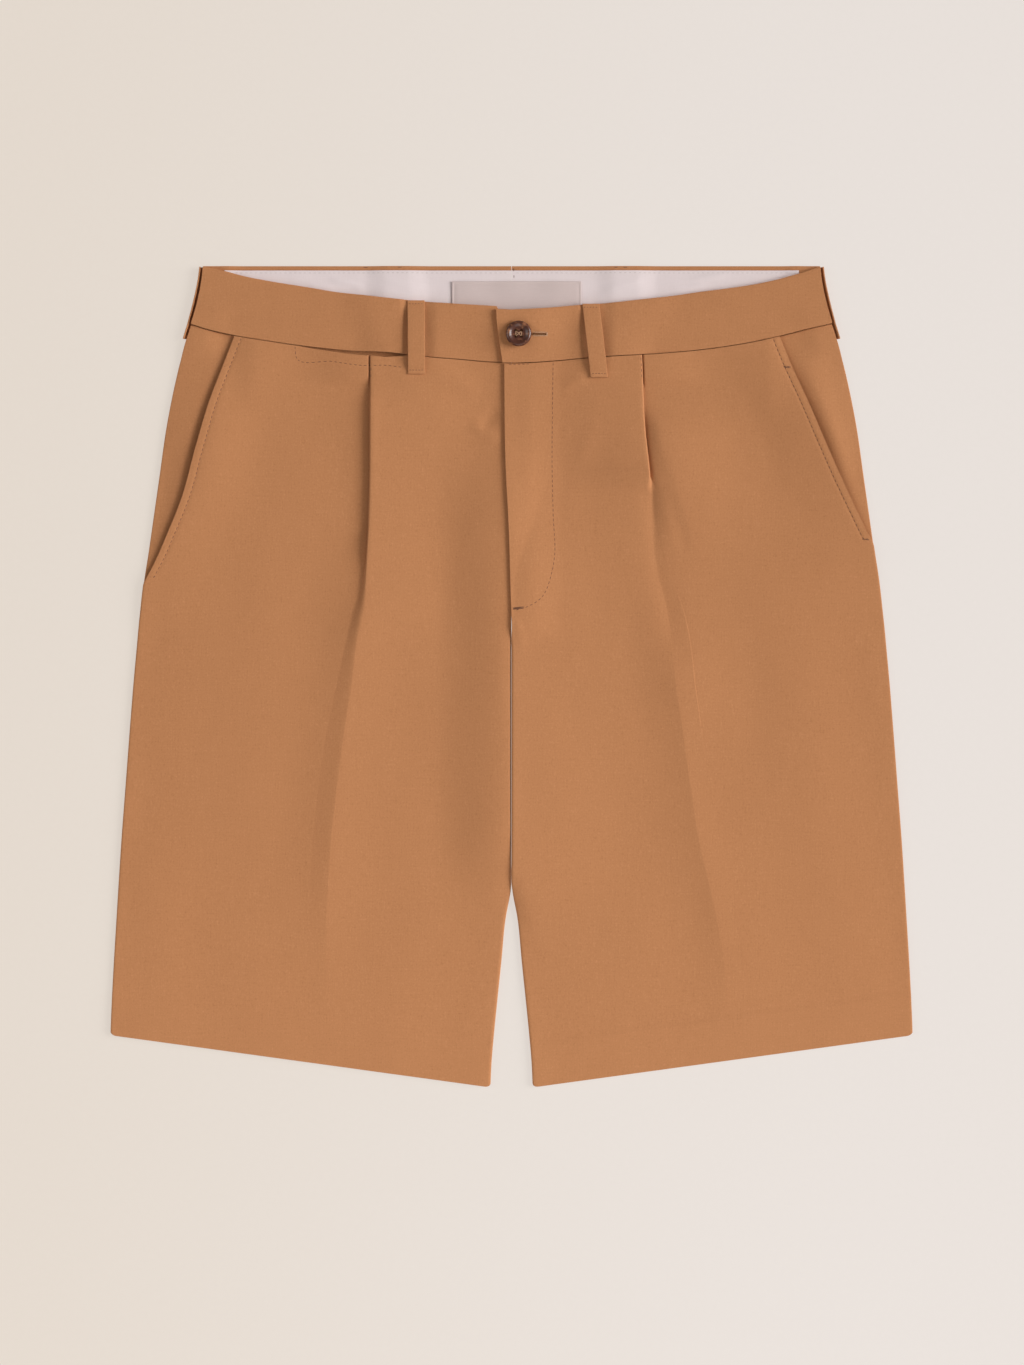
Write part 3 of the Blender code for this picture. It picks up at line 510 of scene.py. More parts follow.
    def back_lift(self, out: Array, y: Array) -> Array:
        """How far the back lies up on the belt loops that are folded flat under it."""
        beside = np.abs(out - self.back_loop_at) - self.loop_width / 2 - self.loop_room
        at_loop = smooth(1.0 - beside / self.loop_ramp)
        at_loop = at_loop * smooth((y - self.back_loop_low + 0.7 + self.loop_ramp) / self.loop_ramp)
        at_side = smooth((out - self.side_fold(y) + self.side_insets[1] + self.loop_ramp) / self.loop_ramp)
        at_side = at_side * smooth((y - 506.0 + self.loop_ramp) / self.loop_ramp)
        return self.loop_lift * (1.0 - (1.0 - at_loop) * (1.0 - at_side))

    def band_floor(self, side: Side, out: Array, share: Array) -> Array:
        """Underside of a front waistband half, at a share of the way from its seam to its top edge."""
        fold = self.crease(side, 498.0)
        stepped = smooth((fold + 12.0 - out) / 24.0) * fall((fold - 14.0 - out) / 62.0)
        low = self.front_floor + self.band_low + self.band_step * stepped
        high = mix(*self.band_high, smooth((out - 92.0) / 26.0))
        if side is Side.LEFT:
            tab = fall((out - self.fly_underlap - 6.0) / 30.0)
            low = low + (self.band_wall + self.seam_gap) * tab
            high = high + (self.band_wall + self.seam_gap) * tab
        level = mix(low, high, smooth(share / 0.9))
        over_side = self.back_band_wall + self.loop_lift + self.seam_gap
        return mix(level, over_side, smooth((out - self.band_side_from) / 12.0))

    def band_surface(self, side: Side, out: float, y: float) -> float:
        """Top of a front waistband half at a distance out and a height."""
        low, high = self.band_seam(side, out) + self.seam_gap / 2, self.band_top(side, out)
        share = np.clip((y - low) / (high - low), 0.0, 1.0)
        return float(self.band_floor(side, np.array(out), share) + self.band_wall)


# ---------------------------------------------------------------------------------------------------------
# Shader expressions
# ---------------------------------------------------------------------------------------------------------


class Wire:
    """An output of a shader node, with arithmetic: an expression adds its Math nodes."""

    def __init__(self, tree: "Tree", socket: bpy.types.NodeSocket) -> None:
        """Args: tree: the tree it belongs to. socket: the node's output."""
        self.tree = tree
        self.socket = socket

    def _math(self, operation: str, first: Any, second: Any) -> "Wire":
        """A Math node of that operation on two values or wires."""
        return self.tree.node("ShaderNodeMath", {"operation": operation}, {0: first, 1: second})

    def __add__(self, other: Any) -> "Wire":
        """Sum."""
        return self._math("ADD", self, other)

    def __radd__(self, other: Any) -> "Wire":
        """Sum, with the wire second."""
        return self._math("ADD", other, self)

    def __sub__(self, other: Any) -> "Wire":
        """Difference."""
        return self._math("SUBTRACT", self, other)

    def __rsub__(self, other: Any) -> "Wire":
        """Difference, with the wire second."""
        return self._math("SUBTRACT", other, self)

    def __mul__(self, other: Any) -> "Wire":
        """Product."""
        return self._math("MULTIPLY", self, other)

    def __rmul__(self, other: Any) -> "Wire":
        """Product, with the wire second."""
        return self._math("MULTIPLY", other, self)

    def within(self, low: float, high: float) -> "Wire":
        """0 at low and 1 at high, with a soft step between."""
        sockets = {"Value": self, "From Min": low, "From Max": high}
        return self.tree.node("ShaderNodeMapRange", {"interpolation_type": "SMOOTHSTEP"}, sockets)


class Tree:
    """The node tree of one material, from its Principled shader back."""

    def __init__(self, name: str) -> None:
        """Args: name: the material's name."""
        self.material = bpy.data.materials.new(name)
        self.material.use_nodes = True
        self.nodes = self.material.node_tree.nodes
        self.shader = self.nodes["Principled BSDF"]

    def node(self, kind: str, settings: dict[str, Any], sockets: dict[Any, Any], output: Any = 0) -> Wire:
        """Adds one node.

        Args:
            kind: The node's type.
            settings: Its properties, set before its sockets.
            sockets: Values or wires of its inputs, by name or number.
            output: The output that is wanted, by name or number.

        Returns:
            That output.
        """
        made = self.nodes.new(kind)
        for name, value in settings.items():
            setattr(made, name, value)
        for name, value in sockets.items():
            self.plug(made.inputs[name], value)
        return Wire(self, made.outputs[output])

    def plug(self, socket: bpy.types.NodeSocket, value: Any) -> None:
        """Links a wire to a socket, or sets the socket's value."""
        if isinstance(value, Wire):
            self.material.node_tree.links.new(value.socket, socket)
        else:
            socket.default_value = value

    def set(self, **sockets: Any) -> None:
        """Sets or links sockets of the shader, named with underscores for spaces."""
        for name, value in sockets.items():
            self.plug(self.shader.inputs[name.replace("_", " ")], value)

    def spot(self, across: float, up: float, deep: float = 1.0) -> Wire:
        """Place on the piece, scaled: 1 over the length of a pattern in metres each way."""
        here = self.node("ShaderNodeTexCoord", {}, {}, "Object")
        scale = (1.0 / across, 1.0 / up, 1.0 / deep)
        return self.node("ShaderNodeVectorMath", {"operation": "MULTIPLY"}, {0: here, 1: scale})

    def turned(self, vector: Wire, degrees: float) -> Wire:
        """A vector turned about z."""
        turn = (0, 0, math.radians(degrees))
        return self.node("ShaderNodeMapping", {}, {"Vector": vector, "Rotation": turn})

    def noise(self, vector: Wire, detail: float = 1.0, roughness: float = 0.5) -> Wire:
        """Soft noise from 0 to 1 with one cell to a unit of the vector."""
        sockets = {"Vector": vector, "Scale": 1.0, "Detail": detail, "Roughness": roughness}
        return self.node("ShaderNodeTexNoise", {}, sockets, "Fac")

    def blend(self, share: Any, low: Any, high: Any) -> Wire:
        """A colour at a share of the way between two."""
        settings = {"data_type": "RGBA", "blend_type": "MIX"}
        # The Mix node's sockets 0, 6 and 7 are its factor and its two colours, and output 2 is the colour.
        return self.node("ShaderNodeMix", settings, {0: share, 6: low, 7: high}, 2)

    def bump(self, height: Wire, distance: float, strength: float = 1.0) -> Wire:
        """A normal from a height of 0 to 1 that stands for that distance in metres."""
        return self.node("ShaderNodeBump", {}, {"Height": height, "Distance": distance, "Strength": strength},
                         "Normal")


Colour = tuple[float, float, float, float]


@dataclass(frozen=True)
class Twill:
    """Fine camel cotton twill with a soft flecked face."""

    name: str = "camel_twill"
    colour: Colour = (0.510, 0.218, 0.0885, 1.0)
    dark: Colour = (0.410, 0.168, 0.065, 1.0)
    light: Colour = (0.600, 0.275, 0.120, 1.0)
    rib: float = 0.00046
    fleck: float = 0.0010
    roughness: float = 0.82
    sheen: float = 0.12

    def make(self) -> bpy.types.Material:
        """Builds the material."""
        tree = Tree(self.name)
        fleck = tree.noise(tree.spot(self.fleck, 1.35 * self.fleck, self.fleck), 1.5, 0.6)
        slub = tree.noise(tree.spot(0.0007, 0.009, 0.002), 1.0)
        weft = tree.noise(tree.spot(0.011, 0.0008, 0.002), 1.0)
        cloud = tree.noise(tree.spot(0.045, 0.07, 0.05), 1.0)
        rib = tree.turned(tree.spot(self.rib, self.rib, self.rib), -27.0)
        rib = tree.node("ShaderNodeTexWave", {"wave_profile": "SIN"},
                        {"Vector": rib, "Scale": 1.0 / math.pi, "Distortion": 0.6, "Detail": 0.0}, "Fac")
        tone = 0.5 + (fleck - 0.5) * 0.9 + (slub - 0.5) * 0.35 + (weft - 0.5) * 0.25 + (cloud - 0.5) * 0.12
        tone = tone + (rib - 0.5) * 0.06
        darker = tree.blend(tone.within(0.0, 0.5), self.dark, self.colour)
        colour = tree.blend(tone.within(0.5, 1.0), darker, self.light)
        relief = fleck * 0.35 + rib * 0.4 + slub * 0.15 + weft * 0.1
        tree.set(Base_Color=colour, Roughness=self.roughness, Sheen_Weight=self.sheen, Sheen_Roughness=0.5,
                 Specular_IOR_Level=0.25, Normal=tree.bump(relief, 0.00016, 0.5))
        tree.shader.inputs["Sheen Tint"].default_value = (0.9, 0.7, 0.5, 1.0)
        return tree.material


@dataclass(frozen=True)
class Lining:
    """Plain pale pinkish cotton."""

    name: str = "pale_cotton"
    colour: Colour = (0.836, 0.722, 0.713, 1.0)
    dark: Colour = (0.752, 0.642, 0.633, 1.0)
    thread: float = 0.0006

    def make(self) -> bpy.types.Material:
        """Builds the material."""
        tree = Tree(self.name)
        across = tree.noise(tree.spot(self.thread, 0.006, 0.004), 1.0)
        along = tree.noise(tree.spot(0.006, self.thread, 0.004), 1.0)
        cloud = tree.noise(tree.spot(0.02, 0.012, 0.02), 1.0)
        weave = across * 0.5 + along * 0.5
        tone = (weave - 0.5) * 0.8 + (cloud - 0.5) * 0.5 + 0.5
        tree.set(Base_Color=tree.blend(tone, self.dark, self.colour), Roughness=0.78, Specular_IOR_Level=0.3,
                 Normal=tree.bump(weave, 0.0001, 0.4))
        return tree.material


@dataclass(frozen=True)
class Satin:
    """Smooth greige woven satin, left blank."""

    name: str = "greige_satin"
    colour: Colour = (0.680, 0.550, 0.520, 1.0)
    dark: Colour = (0.600, 0.480, 0.452, 1.0)

    def make(self) -> bpy.types.Material:
        """Builds the material."""
        tree = Tree(self.name)
        float_threads = tree.noise(tree.spot(0.0035, 0.00035, 0.002), 1.0)
        cloud = tree.noise(tree.spot(0.03, 0.03, 0.03), 1.0)
        tone = (float_threads - 0.5) * 0.7 + (cloud - 0.5) * 0.4 + 0.6
        tree.set(Base_Color=tree.blend(tone, self.dark, self.colour), Roughness=0.5, Specular_IOR_Level=0.4,
                 Normal=tree.bump(float_threads, 0.00006, 0.4))
        return tree.material


@dataclass(frozen=True)
class Horn:
    """Polished dark brown horn with paler mottling."""

    name: str = "brown_horn"
    colour: Colour = (0.085, 0.026, 0.014, 1.0)
    pale: Colour = (0.420, 0.170, 0.075, 1.0)

    def make(self) -> bpy.types.Material:
        """Builds the material."""
        tree = Tree(self.name)
        patch = tree.noise(tree.spot(0.0050, 0.0032, 0.004), 2.0, 0.6)
        streak = tree.noise(tree.spot(0.0012, 0.004, 0.003), 1.5)
        tone = (patch * 0.75 + streak * 0.25).within(0.50, 0.74)
        roughness = 0.30 + streak * 0.12
        tree.set(Base_Color=tree.blend(tone, self.colour, self.pale), Roughness=roughness, Coat_Weight=0.12,
                 Coat_Roughness=0.12, Normal=tree.bump(streak, 0.00004, 0.4))
        return tree.material


@dataclass(frozen=True)
class Thread:
    """Twisted sewing thread."""

    name: str = "brown_thread"
    colour: Colour = (0.205, 0.080, 0.035, 1.0)
    dark: Colour = (0.140, 0.054, 0.024, 1.0)

    def make(self) -> bpy.types.Material:
        """Builds the material."""
        tree = Tree(self.name)
        twist = tree.noise(tree.spot(0.0004, 0.0004, 0.0004), 1.0)
        tree.set(Base_Color=tree.blend(twist, self.dark, self.colour), Roughness=0.7,
                 Normal=tree.bump(twist, 0.00006, 0.6))
        return tree.material


@dataclass(frozen=True)
class Paper:
    """Pale seamless background, painted darker and warmer towards -x as shade of the light from +x, and
    glowing with painted light.
    """

    name: str = "pale_floor"
    painted_shade_warm: Colour = (0.795, 0.712, 0.630, 1.0)
    painted_lit_cool: Colour = (0.830, 0.768, 0.722, 1.0)
    # Share of the floor's brightness that is painted light: emitted, so that shadows on it fade.
    painted_glow: float = 0.80

    def make(self) -> bpy.types.Material:
        """Builds the material."""
        tree = Tree(self.name)
        here = tree.node("ShaderNodeTexCoord", {}, {}, "Object")
        # Painted shade: the floor's colour runs from a darker, warmer tone at -x to a paler one at +x, as if
        # lit from +x.
        across = tree.node("ShaderNodeSeparateXYZ", {}, {0: here}, "X").within(-0.42, 0.30)
        grain = tree.noise(tree.spot(0.004, 0.004, 0.004), 1.0)
        colour = tree.blend(across, self.painted_shade_warm, self.painted_lit_cool)
        colour = tree.blend(0.012, colour, tree.blend(grain, (0.0, 0.0, 0.0, 1.0), (1.0, 1.0, 1.0, 1.0)))
        # Painted light: the floor emits most of its brightness instead of taking it from the lamps, which
        # washes out the shadows on it.
        tree.set(Base_Color=tree.blend(self.painted_glow, colour, (0.0, 0.0, 0.0, 1.0)), Roughness=0.9,
                 Specular_IOR_Level=0.1, Emission_Color=colour, Emission_Strength=self.painted_glow)
        return tree.material


@dataclass
class Wardrobe:
    """The finished materials, each made once."""

    twill: bpy.types.Material = field(default_factory=lambda: Twill().make())
    lining: bpy.types.Material = field(default_factory=lambda: Lining().make())
    satin: bpy.types.Material = field(default_factory=lambda: Satin().make())
    horn: bpy.types.Material = field(default_factory=lambda: Horn().make())
    thread: bpy.types.Material = field(default_factory=lambda: Thread().make())
    pale_thread: bpy.types.Material = field(default_factory=lambda: Thread(
        "tan_thread", (0.560, 0.330, 0.190, 1.0), (0.430, 0.240, 0.130, 1.0)).make())
    white_thread: bpy.types.Material = field(default_factory=lambda: Thread(
        "white_thread", (0.640, 0.520, 0.490, 1.0), (0.500, 0.400, 0.380, 1.0)).make())


# ---------------------------------------------------------------------------------------------------------
# Making and finishing meshes
# ---------------------------------------------------------------------------------------------------------


def alone(obj: bpy.types.Object) -> None:
    """Makes an object the only one selected, and active."""
    bpy.ops.object.select_all(action="DESELECT")
    obj.select_set(True)
    bpy.context.view_layer.objects.active = obj


def apply_modifiers(obj: bpy.types.Object) -> None:
    """Applies every modifier of an object."""
    alone(obj)
    for modifier in list(obj.modifiers):
        bpy.ops.object.modifier_apply(modifier=modifier.name)


def face_outwards(obj: bpy.types.Object) -> None:
    """Turns a closed mesh's faces so that they point outwards."""
    mesh = bmesh.new()
    mesh.from_mesh(obj.data)
    bmesh.ops.recalc_face_normals(mesh, faces=mesh.faces)
    if mesh.calc_volume(signed=True) < 0:
        bmesh.ops.reverse_faces(mesh, faces=mesh.faces)
    mesh.to_mesh(obj.data)
    mesh.free()


def cloth(name: str, rows: Array, wall: float, finish: bpy.types.Material,
          rounding: float = 0.28) -> bpy.types.Object:
    """A cloth wall through rows of points that lie in the middle of its thickness.

    Args:
        name: The object's name.
        rows: Points in mm, as an array of rows, columns and xyz.
        wall: Its thickness in mm.
        finish: Its material.
        rounding: How round its edges are, in mm.

    Returns:
        The object, with its thickness and rounded edges applied.
    """
    points = place(rows)
    up, across = points.shape[0] - 1, points.shape[1] - 1
    grid = bmesh.new()
    bmesh.ops.create_grid(grid, x_segments=across, y_segments=up, size=0.5)
    for vert in grid.verts:
        vert.co = points[round((vert.co.y + 0.5) * up), round((vert.co.x + 0.5) * across)]
    mesh = bpy.data.meshes.new(name)
    grid.to_mesh(mesh)
    grid.free()
    obj = bpy.data.objects.new(name, mesh)
    bpy.context.scene.collection.objects.link(obj)
    solidify = obj.modifiers.new("wall", "SOLIDIFY")
    solidify.thickness = wall * MM
    solidify.offset = 0.0
    solidify.use_even_offset = False
    if rounding:
        bevel = obj.modifiers.new("round", "BEVEL")
        bevel.width = rounding * MM
        bevel.segments = 2
        bevel.limit_method = "ANGLE"
        bevel.angle_limit = math.radians(62)
    apply_modifiers(obj)
    face_outwards(obj)
    obj.data.materials.append(finish)
    obj.data.shade_smooth()
    return obj


def stand_for(obj: bpy.types.Object, node: str | None) -> bpy.types.Object:
    """Lets a piece ride on the part and take the place of a CAD node, which is hidden."""
    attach(obj, BODY)
    if node:
        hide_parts(node)
    LOG.info("%s: %d faces", obj.name, len(obj.data.polygons))
    return obj


def edge_shares(insets: Sequence[float], length: float, middle: int) -> Array:
    """Shares from 0 to 1 that crowd at both ends.

    Args:
        insets: Distances of the first places from an end, in mm, from 0 up.
        length: The whole length in mm.
        middle: How many places lie between the crowded ends.

    Returns:
        The shares.
    """
    near = np.array(insets) / length
    between = np.linspace(near[-1], 1.0 - near[-1], middle + 2)[1:-1]
    return np.concatenate([near, between, 1.0 - near[::-1]])


@dataclass
class Ground:
    """What stitches are laid on: it finds the top of the cloth below a point."""

    objects: list[bpy.types.Object]
    trees: list[BVHTree] = field(default_factory=list)

    def __post_init__(self) -> None:
        """Reads the meshes."""
        for obj in self.objects:
            points = [vert.co.copy() for vert in obj.data.vertices]
            self.trees.append(BVHTree.FromPolygons(points, [face.vertices for face in obj.data.polygons]))

    def height(self, x: float, y: float) -> float:
        """Height in metres of the topmost cloth at a place in mm."""
        start = Vector(place((x, y, 60.0)))
        hits = [tree.ray_cast(start, Vector((0, 0, -1)))[0] for tree in self.trees]
        return max((hit.z for hit in hits if hit), default=0.0)


@dataclass
class Stitching:
    """A line of sewing: separate stitches of one length along a path on the cloth."""

    ground: Ground
    finish: bpy.types.Material
    length: float = 2.3
    gap: float = 1.0
    width: float = 0.6
    height: float = 0.3
    sink: float = 0.05

    def model(self) -> bpy.types.Object:
        """One stitch about the origin, 1 mm long: a ball drawn out, with its ends kept round."""
        bpy.ops.object.select_all(action="DESELECT")
        bpy.ops.mesh.primitive_uv_sphere_add(segments=6, ring_count=5, radius=0.5 * MM, location=(0, 0, 0),
                                             rotation=(0, math.pi / 2, 0))
        stitch = bpy.context.object
        bpy.ops.object.transform_apply(location=False, rotation=True, scale=False)
        stitch.data.shade_smooth()
        return stitch

    def line(self, path: Sequence[Point]) -> list[tuple[Point, Point]]:
        """Start and end of each stitch along a path of points in mm."""
        points = np.array(path, float)
        steps = np.hypot(*np.diff(points, axis=0).T)
        travelled = np.concatenate([[0.0], np.cumsum(steps)])
        bends = np.linspace(0.0, travelled[-1], max(2, int(travelled[-1] / 0.5)))
        x, y = Line(list(zip(travelled, points[:, 0]))), Line(list(zip(travelled, points[:, 1])))
        pitch = self.length + self.gap
        count = max(1, int((bends[-1] + self.gap) / pitch))
        starts = np.arange(count) * (bends[-1] + self.gap) / count
        return [tuple((float(x(at)), float(y(at))) for at in (start, start + self.length))
                for start in starts]

    def sew(self, name: str, stitches: Sequence[tuple[Point, Point]]) -> bpy.types.Object:
        """Lays stitches on the cloth and joins them to one piece.

        Args:
            name: The piece's name.
            stitches: Start and end of each stitch, in mm.

        Returns:
            The piece.
        """
        model = self.model()
        copies = []
        for (x0, y0), (x1, y1) in stitches:
            start = Vector(place((x0, y0, 0.0)))
            end = Vector(place((x1, y1, 0.0)))
            start.z, end.z = self.ground.height(x0, y0), self.ground.height(x1, y1)
            ahead = end - start
            turned = ahead.to_track_quat("X", "Z").to_matrix().to_4x4()
            size = (ahead.length / MM, self.width, self.height)
            copy = model.copy()
            copy.data = model.data.copy()
            for vert in copy.data.vertices:
                spot = Vector([vert.co[k] * size[k] for k in range(3)])
                vert.co = turned @ spot + (start + end) / 2 - Vector((0, 0, self.sink * MM))
            bpy.context.scene.collection.objects.link(copy)
            copies.append(copy)
        bpy.data.objects.remove(model)
        bpy.ops.object.select_all(action="DESELECT")
        for copy in copies:
            copy.select_set(True)
        bpy.context.view_layer.objects.active = copies[0]
        bpy.ops.object.join()
        obj = bpy.context.object
        obj.name = name
        obj.data.name = name
        obj.data.materials.append(self.finish)
        return stand_for(obj, None)


def bar(at: Point, towards: Point, count: int, pitch: float) -> list[tuple[Point, Point]]:
    """A bar tack: short stitches side by side.

    Args:
        at: Start of the first stitch.
        towards: Its end.
        count: How many stitches.
        pitch: Distance from one to the next, to the left of their direction.

    Returns:
        Start and end of each stitch.
    """
    ahead = np.array(towards) - np.array(at)
    aside = np.array((-ahead[1], ahead[0])) / np.hypot(*ahead) * pitch
    return [(tuple(np.array(at) + aside * k), tuple(np.array(towards) + aside * k)) for k in range(count)]


# ---------------------------------------------------------------------------------------------------------
# The sub-assemblies
# ---------------------------------------------------------------------------------------------------------


@dataclass
class Front:
    """One front: a cloth wall with the pleat folded in it, its pocket edge, fly edge and turned hem."""

    cut: Cut
    side: Side
    wall: float = 0.95
    insets: tuple[float, ...] = (0.0, 0.25, 0.7, 1.5, 2.6, 4.2)
    outer_insets: tuple[float, ...] = (11.4, 9.4, 7.8, 6.7, 6.0, 5.4, 4.8, 3.8, 2.7, 1.6, 0.8, 0.3, 0.0)
    inner_columns: int = 46
    outer_columns: int = 52
    clear: float = 0.4
    beside_steps: tuple[float, ...] = (0.15, 0.3, 0.45, 0.6, 0.75, 1.0, 1.4, 2.2, 3.8, 6.4)
    turn_steps: int = 6
    least_step: float = 0.1
    fold_steps: int = 4
    middle_rows: int = 190
    pleat_lift: float = 1.6
    pleat_roll: float = 0.0
    pleat_spread: float = 0.0
    sewn_rise: float = 2.1
    hollow_rise: float = 1.6
    centre_rise: float = 0.8
    seam_room: float = 0.2
    seam_shift: float = 0.0
    length: float = 495.0
    # Heights between which the open pleat's edge stands up, rolls, and has a hollow beside it.
    lift_low: float = 330.0
    lift_high: float = 478.0
    roll_low: float = 268.0
    roll_high: float = 422.0
    hollow_low: float = 345.0
    hollow_high: float = 468.0
    sewn_low: float = 476.0
    lift_fade: float = 16.0
    hem_rise: float = 0.32
    allowance_rise: float = 0.25
    groove_depth: float = 0.18
    doubled_rise: float = 0.08
    pucker_height: float = 0.05
    side_drop: float = 0.25
    inner_drop: float = 0.7
    # Crest along the pressed crease: its height, its ends, and how far it fades inwards and outwards.
    crest: tuple[float, float, float, float, float] = (2.4, 30.0, 400.0, 70.0, 40.0)
    folds: tuple[Fold, ...] = ()

    def fold_step(self, k: int, y: Array) -> tuple[Array, Array]:
        """Way out and way down of one step of the pleat's S."""
        cut, turns, radius = self.cut, self.turn_steps, self.cut.radius(self.side, y)
        turn, depth = cut.turn(self.side, y), cut.depth(self.side, y)
        if turns <= k < turns + self.fold_steps:
            angle, step = turn, depth / self.fold_steps
        else:
            part = k if k < turns else 2 * turns + self.fold_steps - 1 - k
            angle = turn * (part + 0.5) / turns
            step = np.maximum(2 * radius * np.sin(turn / turns / 2), self.least_step)
        return step * np.cos(angle), step * np.sin(angle)

    def fold(self, y: Array, steps: int) -> tuple[Array, Array]:
        """Place (out, z) on the pleat's S after a number of steps from the cloth above its fold edge."""
        cut = self.cut
        out = cut.fold_start(self.side, y)
        z = cut.ground(self.side, cut.crease(self.side, y), y) + cut.pleat_drop(self.side, y)
        for k in range(steps):
            ahead, down = self.fold_step(k, y)
            out, z = out + ahead, z - down
        return out, z

    def lift(self, out: Array, y: Array) -> Array:
        """How far the top layer of the open pleat stands up towards its fold edge."""
        open_part = smooth((self.lift_high - y) / 16.0) * smooth((y - self.lift_low) / 50.0)
        past = out - self.cut.crease(self.side, y)
        inside, aside = np.minimum(past, 0.0), 1.0 - np.hypot(past, 1.0)
        rolled = self.pleat_roll * self.spread(y) * smooth((self.roll_high - y) / 30.0)
        rolled = rolled * smooth((y - self.roll_low) / 60.0)
        fade = np.exp(mix(inside, aside, self.spread(y)) / self.lift_fade)
        return self.pleat_lift * open_part * fade - rolled * np.exp(aside / np.where(past > 0.0, 12.0, 7.0))

    def spread(self, y: Array) -> Array:
        """1 where the pleat has opened so far that the cloth outside its fold edge rises with it."""
        return self.pleat_spread * fall((self.cut.turn(self.side, y) - 0.2) / 0.9)

    def beside(self, past: Array, y: Array) -> Array:
        """Height of the cloth outside the pleat: pressed up to the fold where sewn, and hollow below."""
        sewn = smooth((y - self.sewn_low) / 7.0)
        pressed = self.sewn_rise * smooth((past - 0.4) / 1.0) * fall((past - 5.0) / 46.0)
        # The hollow's foot is steep high up and widens as the pleat opens.
        foot = 9.0 + 10.0 * smooth((436.0 - y) / 70.0)
        steep = 0.3 * (1.0 - self.spread(y))
        soft = np.hypot(np.maximum(past, 0.0), 1.0) - 1.0
        shape = steep * (1.0 - np.exp(-soft / 1.4)) + (1.0 - steep) * np.sin(math.pi / 2 * ramp(soft / foot))
        hollow = self.hollow_rise * shape * fall((past - foot) / 80.0)
        below = smooth((self.hollow_high - y) / 26.0) * smooth((y - self.hollow_low) / 70.0)
        return sewn * pressed + below * hollow

    def crease_crest(self, out: Array, y: Array) -> Array:
        """Height of the soft crest that the pressed crease stands up in."""
        height, low, high, inwards, outwards = self.crest
        past = out - self.cut.crease(self.side, y)
        fade = ramp(1.0 - (np.hypot(past, 0.8) - 0.8) / np.where(past > 0, outwards, inwards))
        along = (y - low) / (high - low)
        return height * np.square(fade) * smooth(along / 0.5) * smooth((1.0 - along) / 0.25)

    def raised_fold(self, y: Array, step: int, steps: int) -> tuple[Array, Array]:
        """Place on the pleat's S with its upper layers lifted."""
        out, z = self.fold(y, step)
        share = mix(smooth((steps - step) / (steps - self.turn_steps)), 1.0, self.spread(y))
        return out, z + share * self.lift(out, y) + self.beside(out - self.cut.crease(self.side, y), y)

    def columns(self) -> list[Callable[[Array], tuple[Array, Array]]]:
        """Functions that give (out, z) of each column at a height, from the inner to the outer edge."""
        cut, side = self.cut, self.side
        lead = self.insets[-1]

        def inner(share: float, inset: float) -> Callable:
            def at(y: Array) -> tuple[Array, Array]:
                edge = cut.inner_edge(side, y) + self.seam_room * fall((y - 306.0) / 14.0)
                edge = edge + self.seam_shift * smooth((y - 132.0) / 20.0) * cut.legs(y)
                out = mix(edge + inset, self.fold(y, 0)[0], share)
                past = out - cut.crease(side, y)
                return out, cut.inner_height(side, out, y) + self.lift(out, y) + self.beside(past, y)
            return at

        def outer(hidden: float, step: float, share: float, inset: float) -> Callable:
            def at(y: Array) -> tuple[Array, Array]:
                end = self.fold(y, steps)[0]
                start = mix(end, np.maximum(end, cut.crease(side, y)) + self.clear, hidden) + step
                out = mix(start, cut.outer_edge(side, y) - inset, share)
                past = out - cut.crease(side, y)
                raised = self.spread(y) * self.lift(out, y) + self.beside(past, y)
                return out, cut.ground(side, out - np.minimum(past, 0.0), y) + raised
            return at

        steps = 2 * self.turn_steps + self.fold_steps
        made = [inner(0.0, inset) for inset in self.insets[:-1]]
        made += [inner(share, lead) for share in np.linspace(0, 1, self.inner_columns)[:-1]]
        made += [lambda y, k=k: self.raised_fold(y, k, steps) for k in range(steps + 1)]
        made += [outer(hidden, 0.0, 0.0, 0.0) for hidden in (0.35, 0.7, 1.0)]
        made += [outer(1.0, step, 0.0, 0.0) for step in self.beside_steps]
        shares = np.linspace(0, 1, self.outer_columns)[1:]
        made += [outer(1.0, self.beside_steps[-1], share, self.outer_insets[0]) for share in shares]
        made += [outer(1.0, 0.0, 1.0, inset) for inset in self.outer_insets[1:]]
        return made

    def relief(self, out: Array, y: Array, hem: Array) -> Array:
        """Fine relief of the cloth: hem, edges, stitched grooves, listed creases and unevenness."""
        cut, side = self.cut, self.side
        x = side.value * out
        above_hem = y - hem
        total = self.hem_rise * fall((above_hem - cut.hem_turn + 1.2) / 2.4)
        total -= 0.10 * bell((above_hem - cut.hem_turn - 2.0) / 1.6)
        # The seam allowances under the waistband, and the dip at the seam itself.
        below = cut.band_seam(side, out) - cut.coin_droop(side, out) - y
        total += self.allowance_rise * fall((below - 1.5) / 5.0)
        # Pocket edge: doubled cloth up to the stitching, a groove at it, and fine puckers.
        edge_room = cut.outer_edge(side, y) - out
        mouth = smooth((y - cut.pocket_low(side)) / 8.0)
        from_stitch = edge_room - cut.stitch_inset
        groove = -self.groove_depth * bell(from_stitch / 0.75)
        doubled = self.doubled_rise * fall((from_stitch + 1.4) / 1.4)
        pucker = self.pucker_height * np.sin(y / 1.9 + np.sin(y / 7.0)) * bell(from_stitch / 3.0)
        total += mouth * (groove + doubled + pucker)
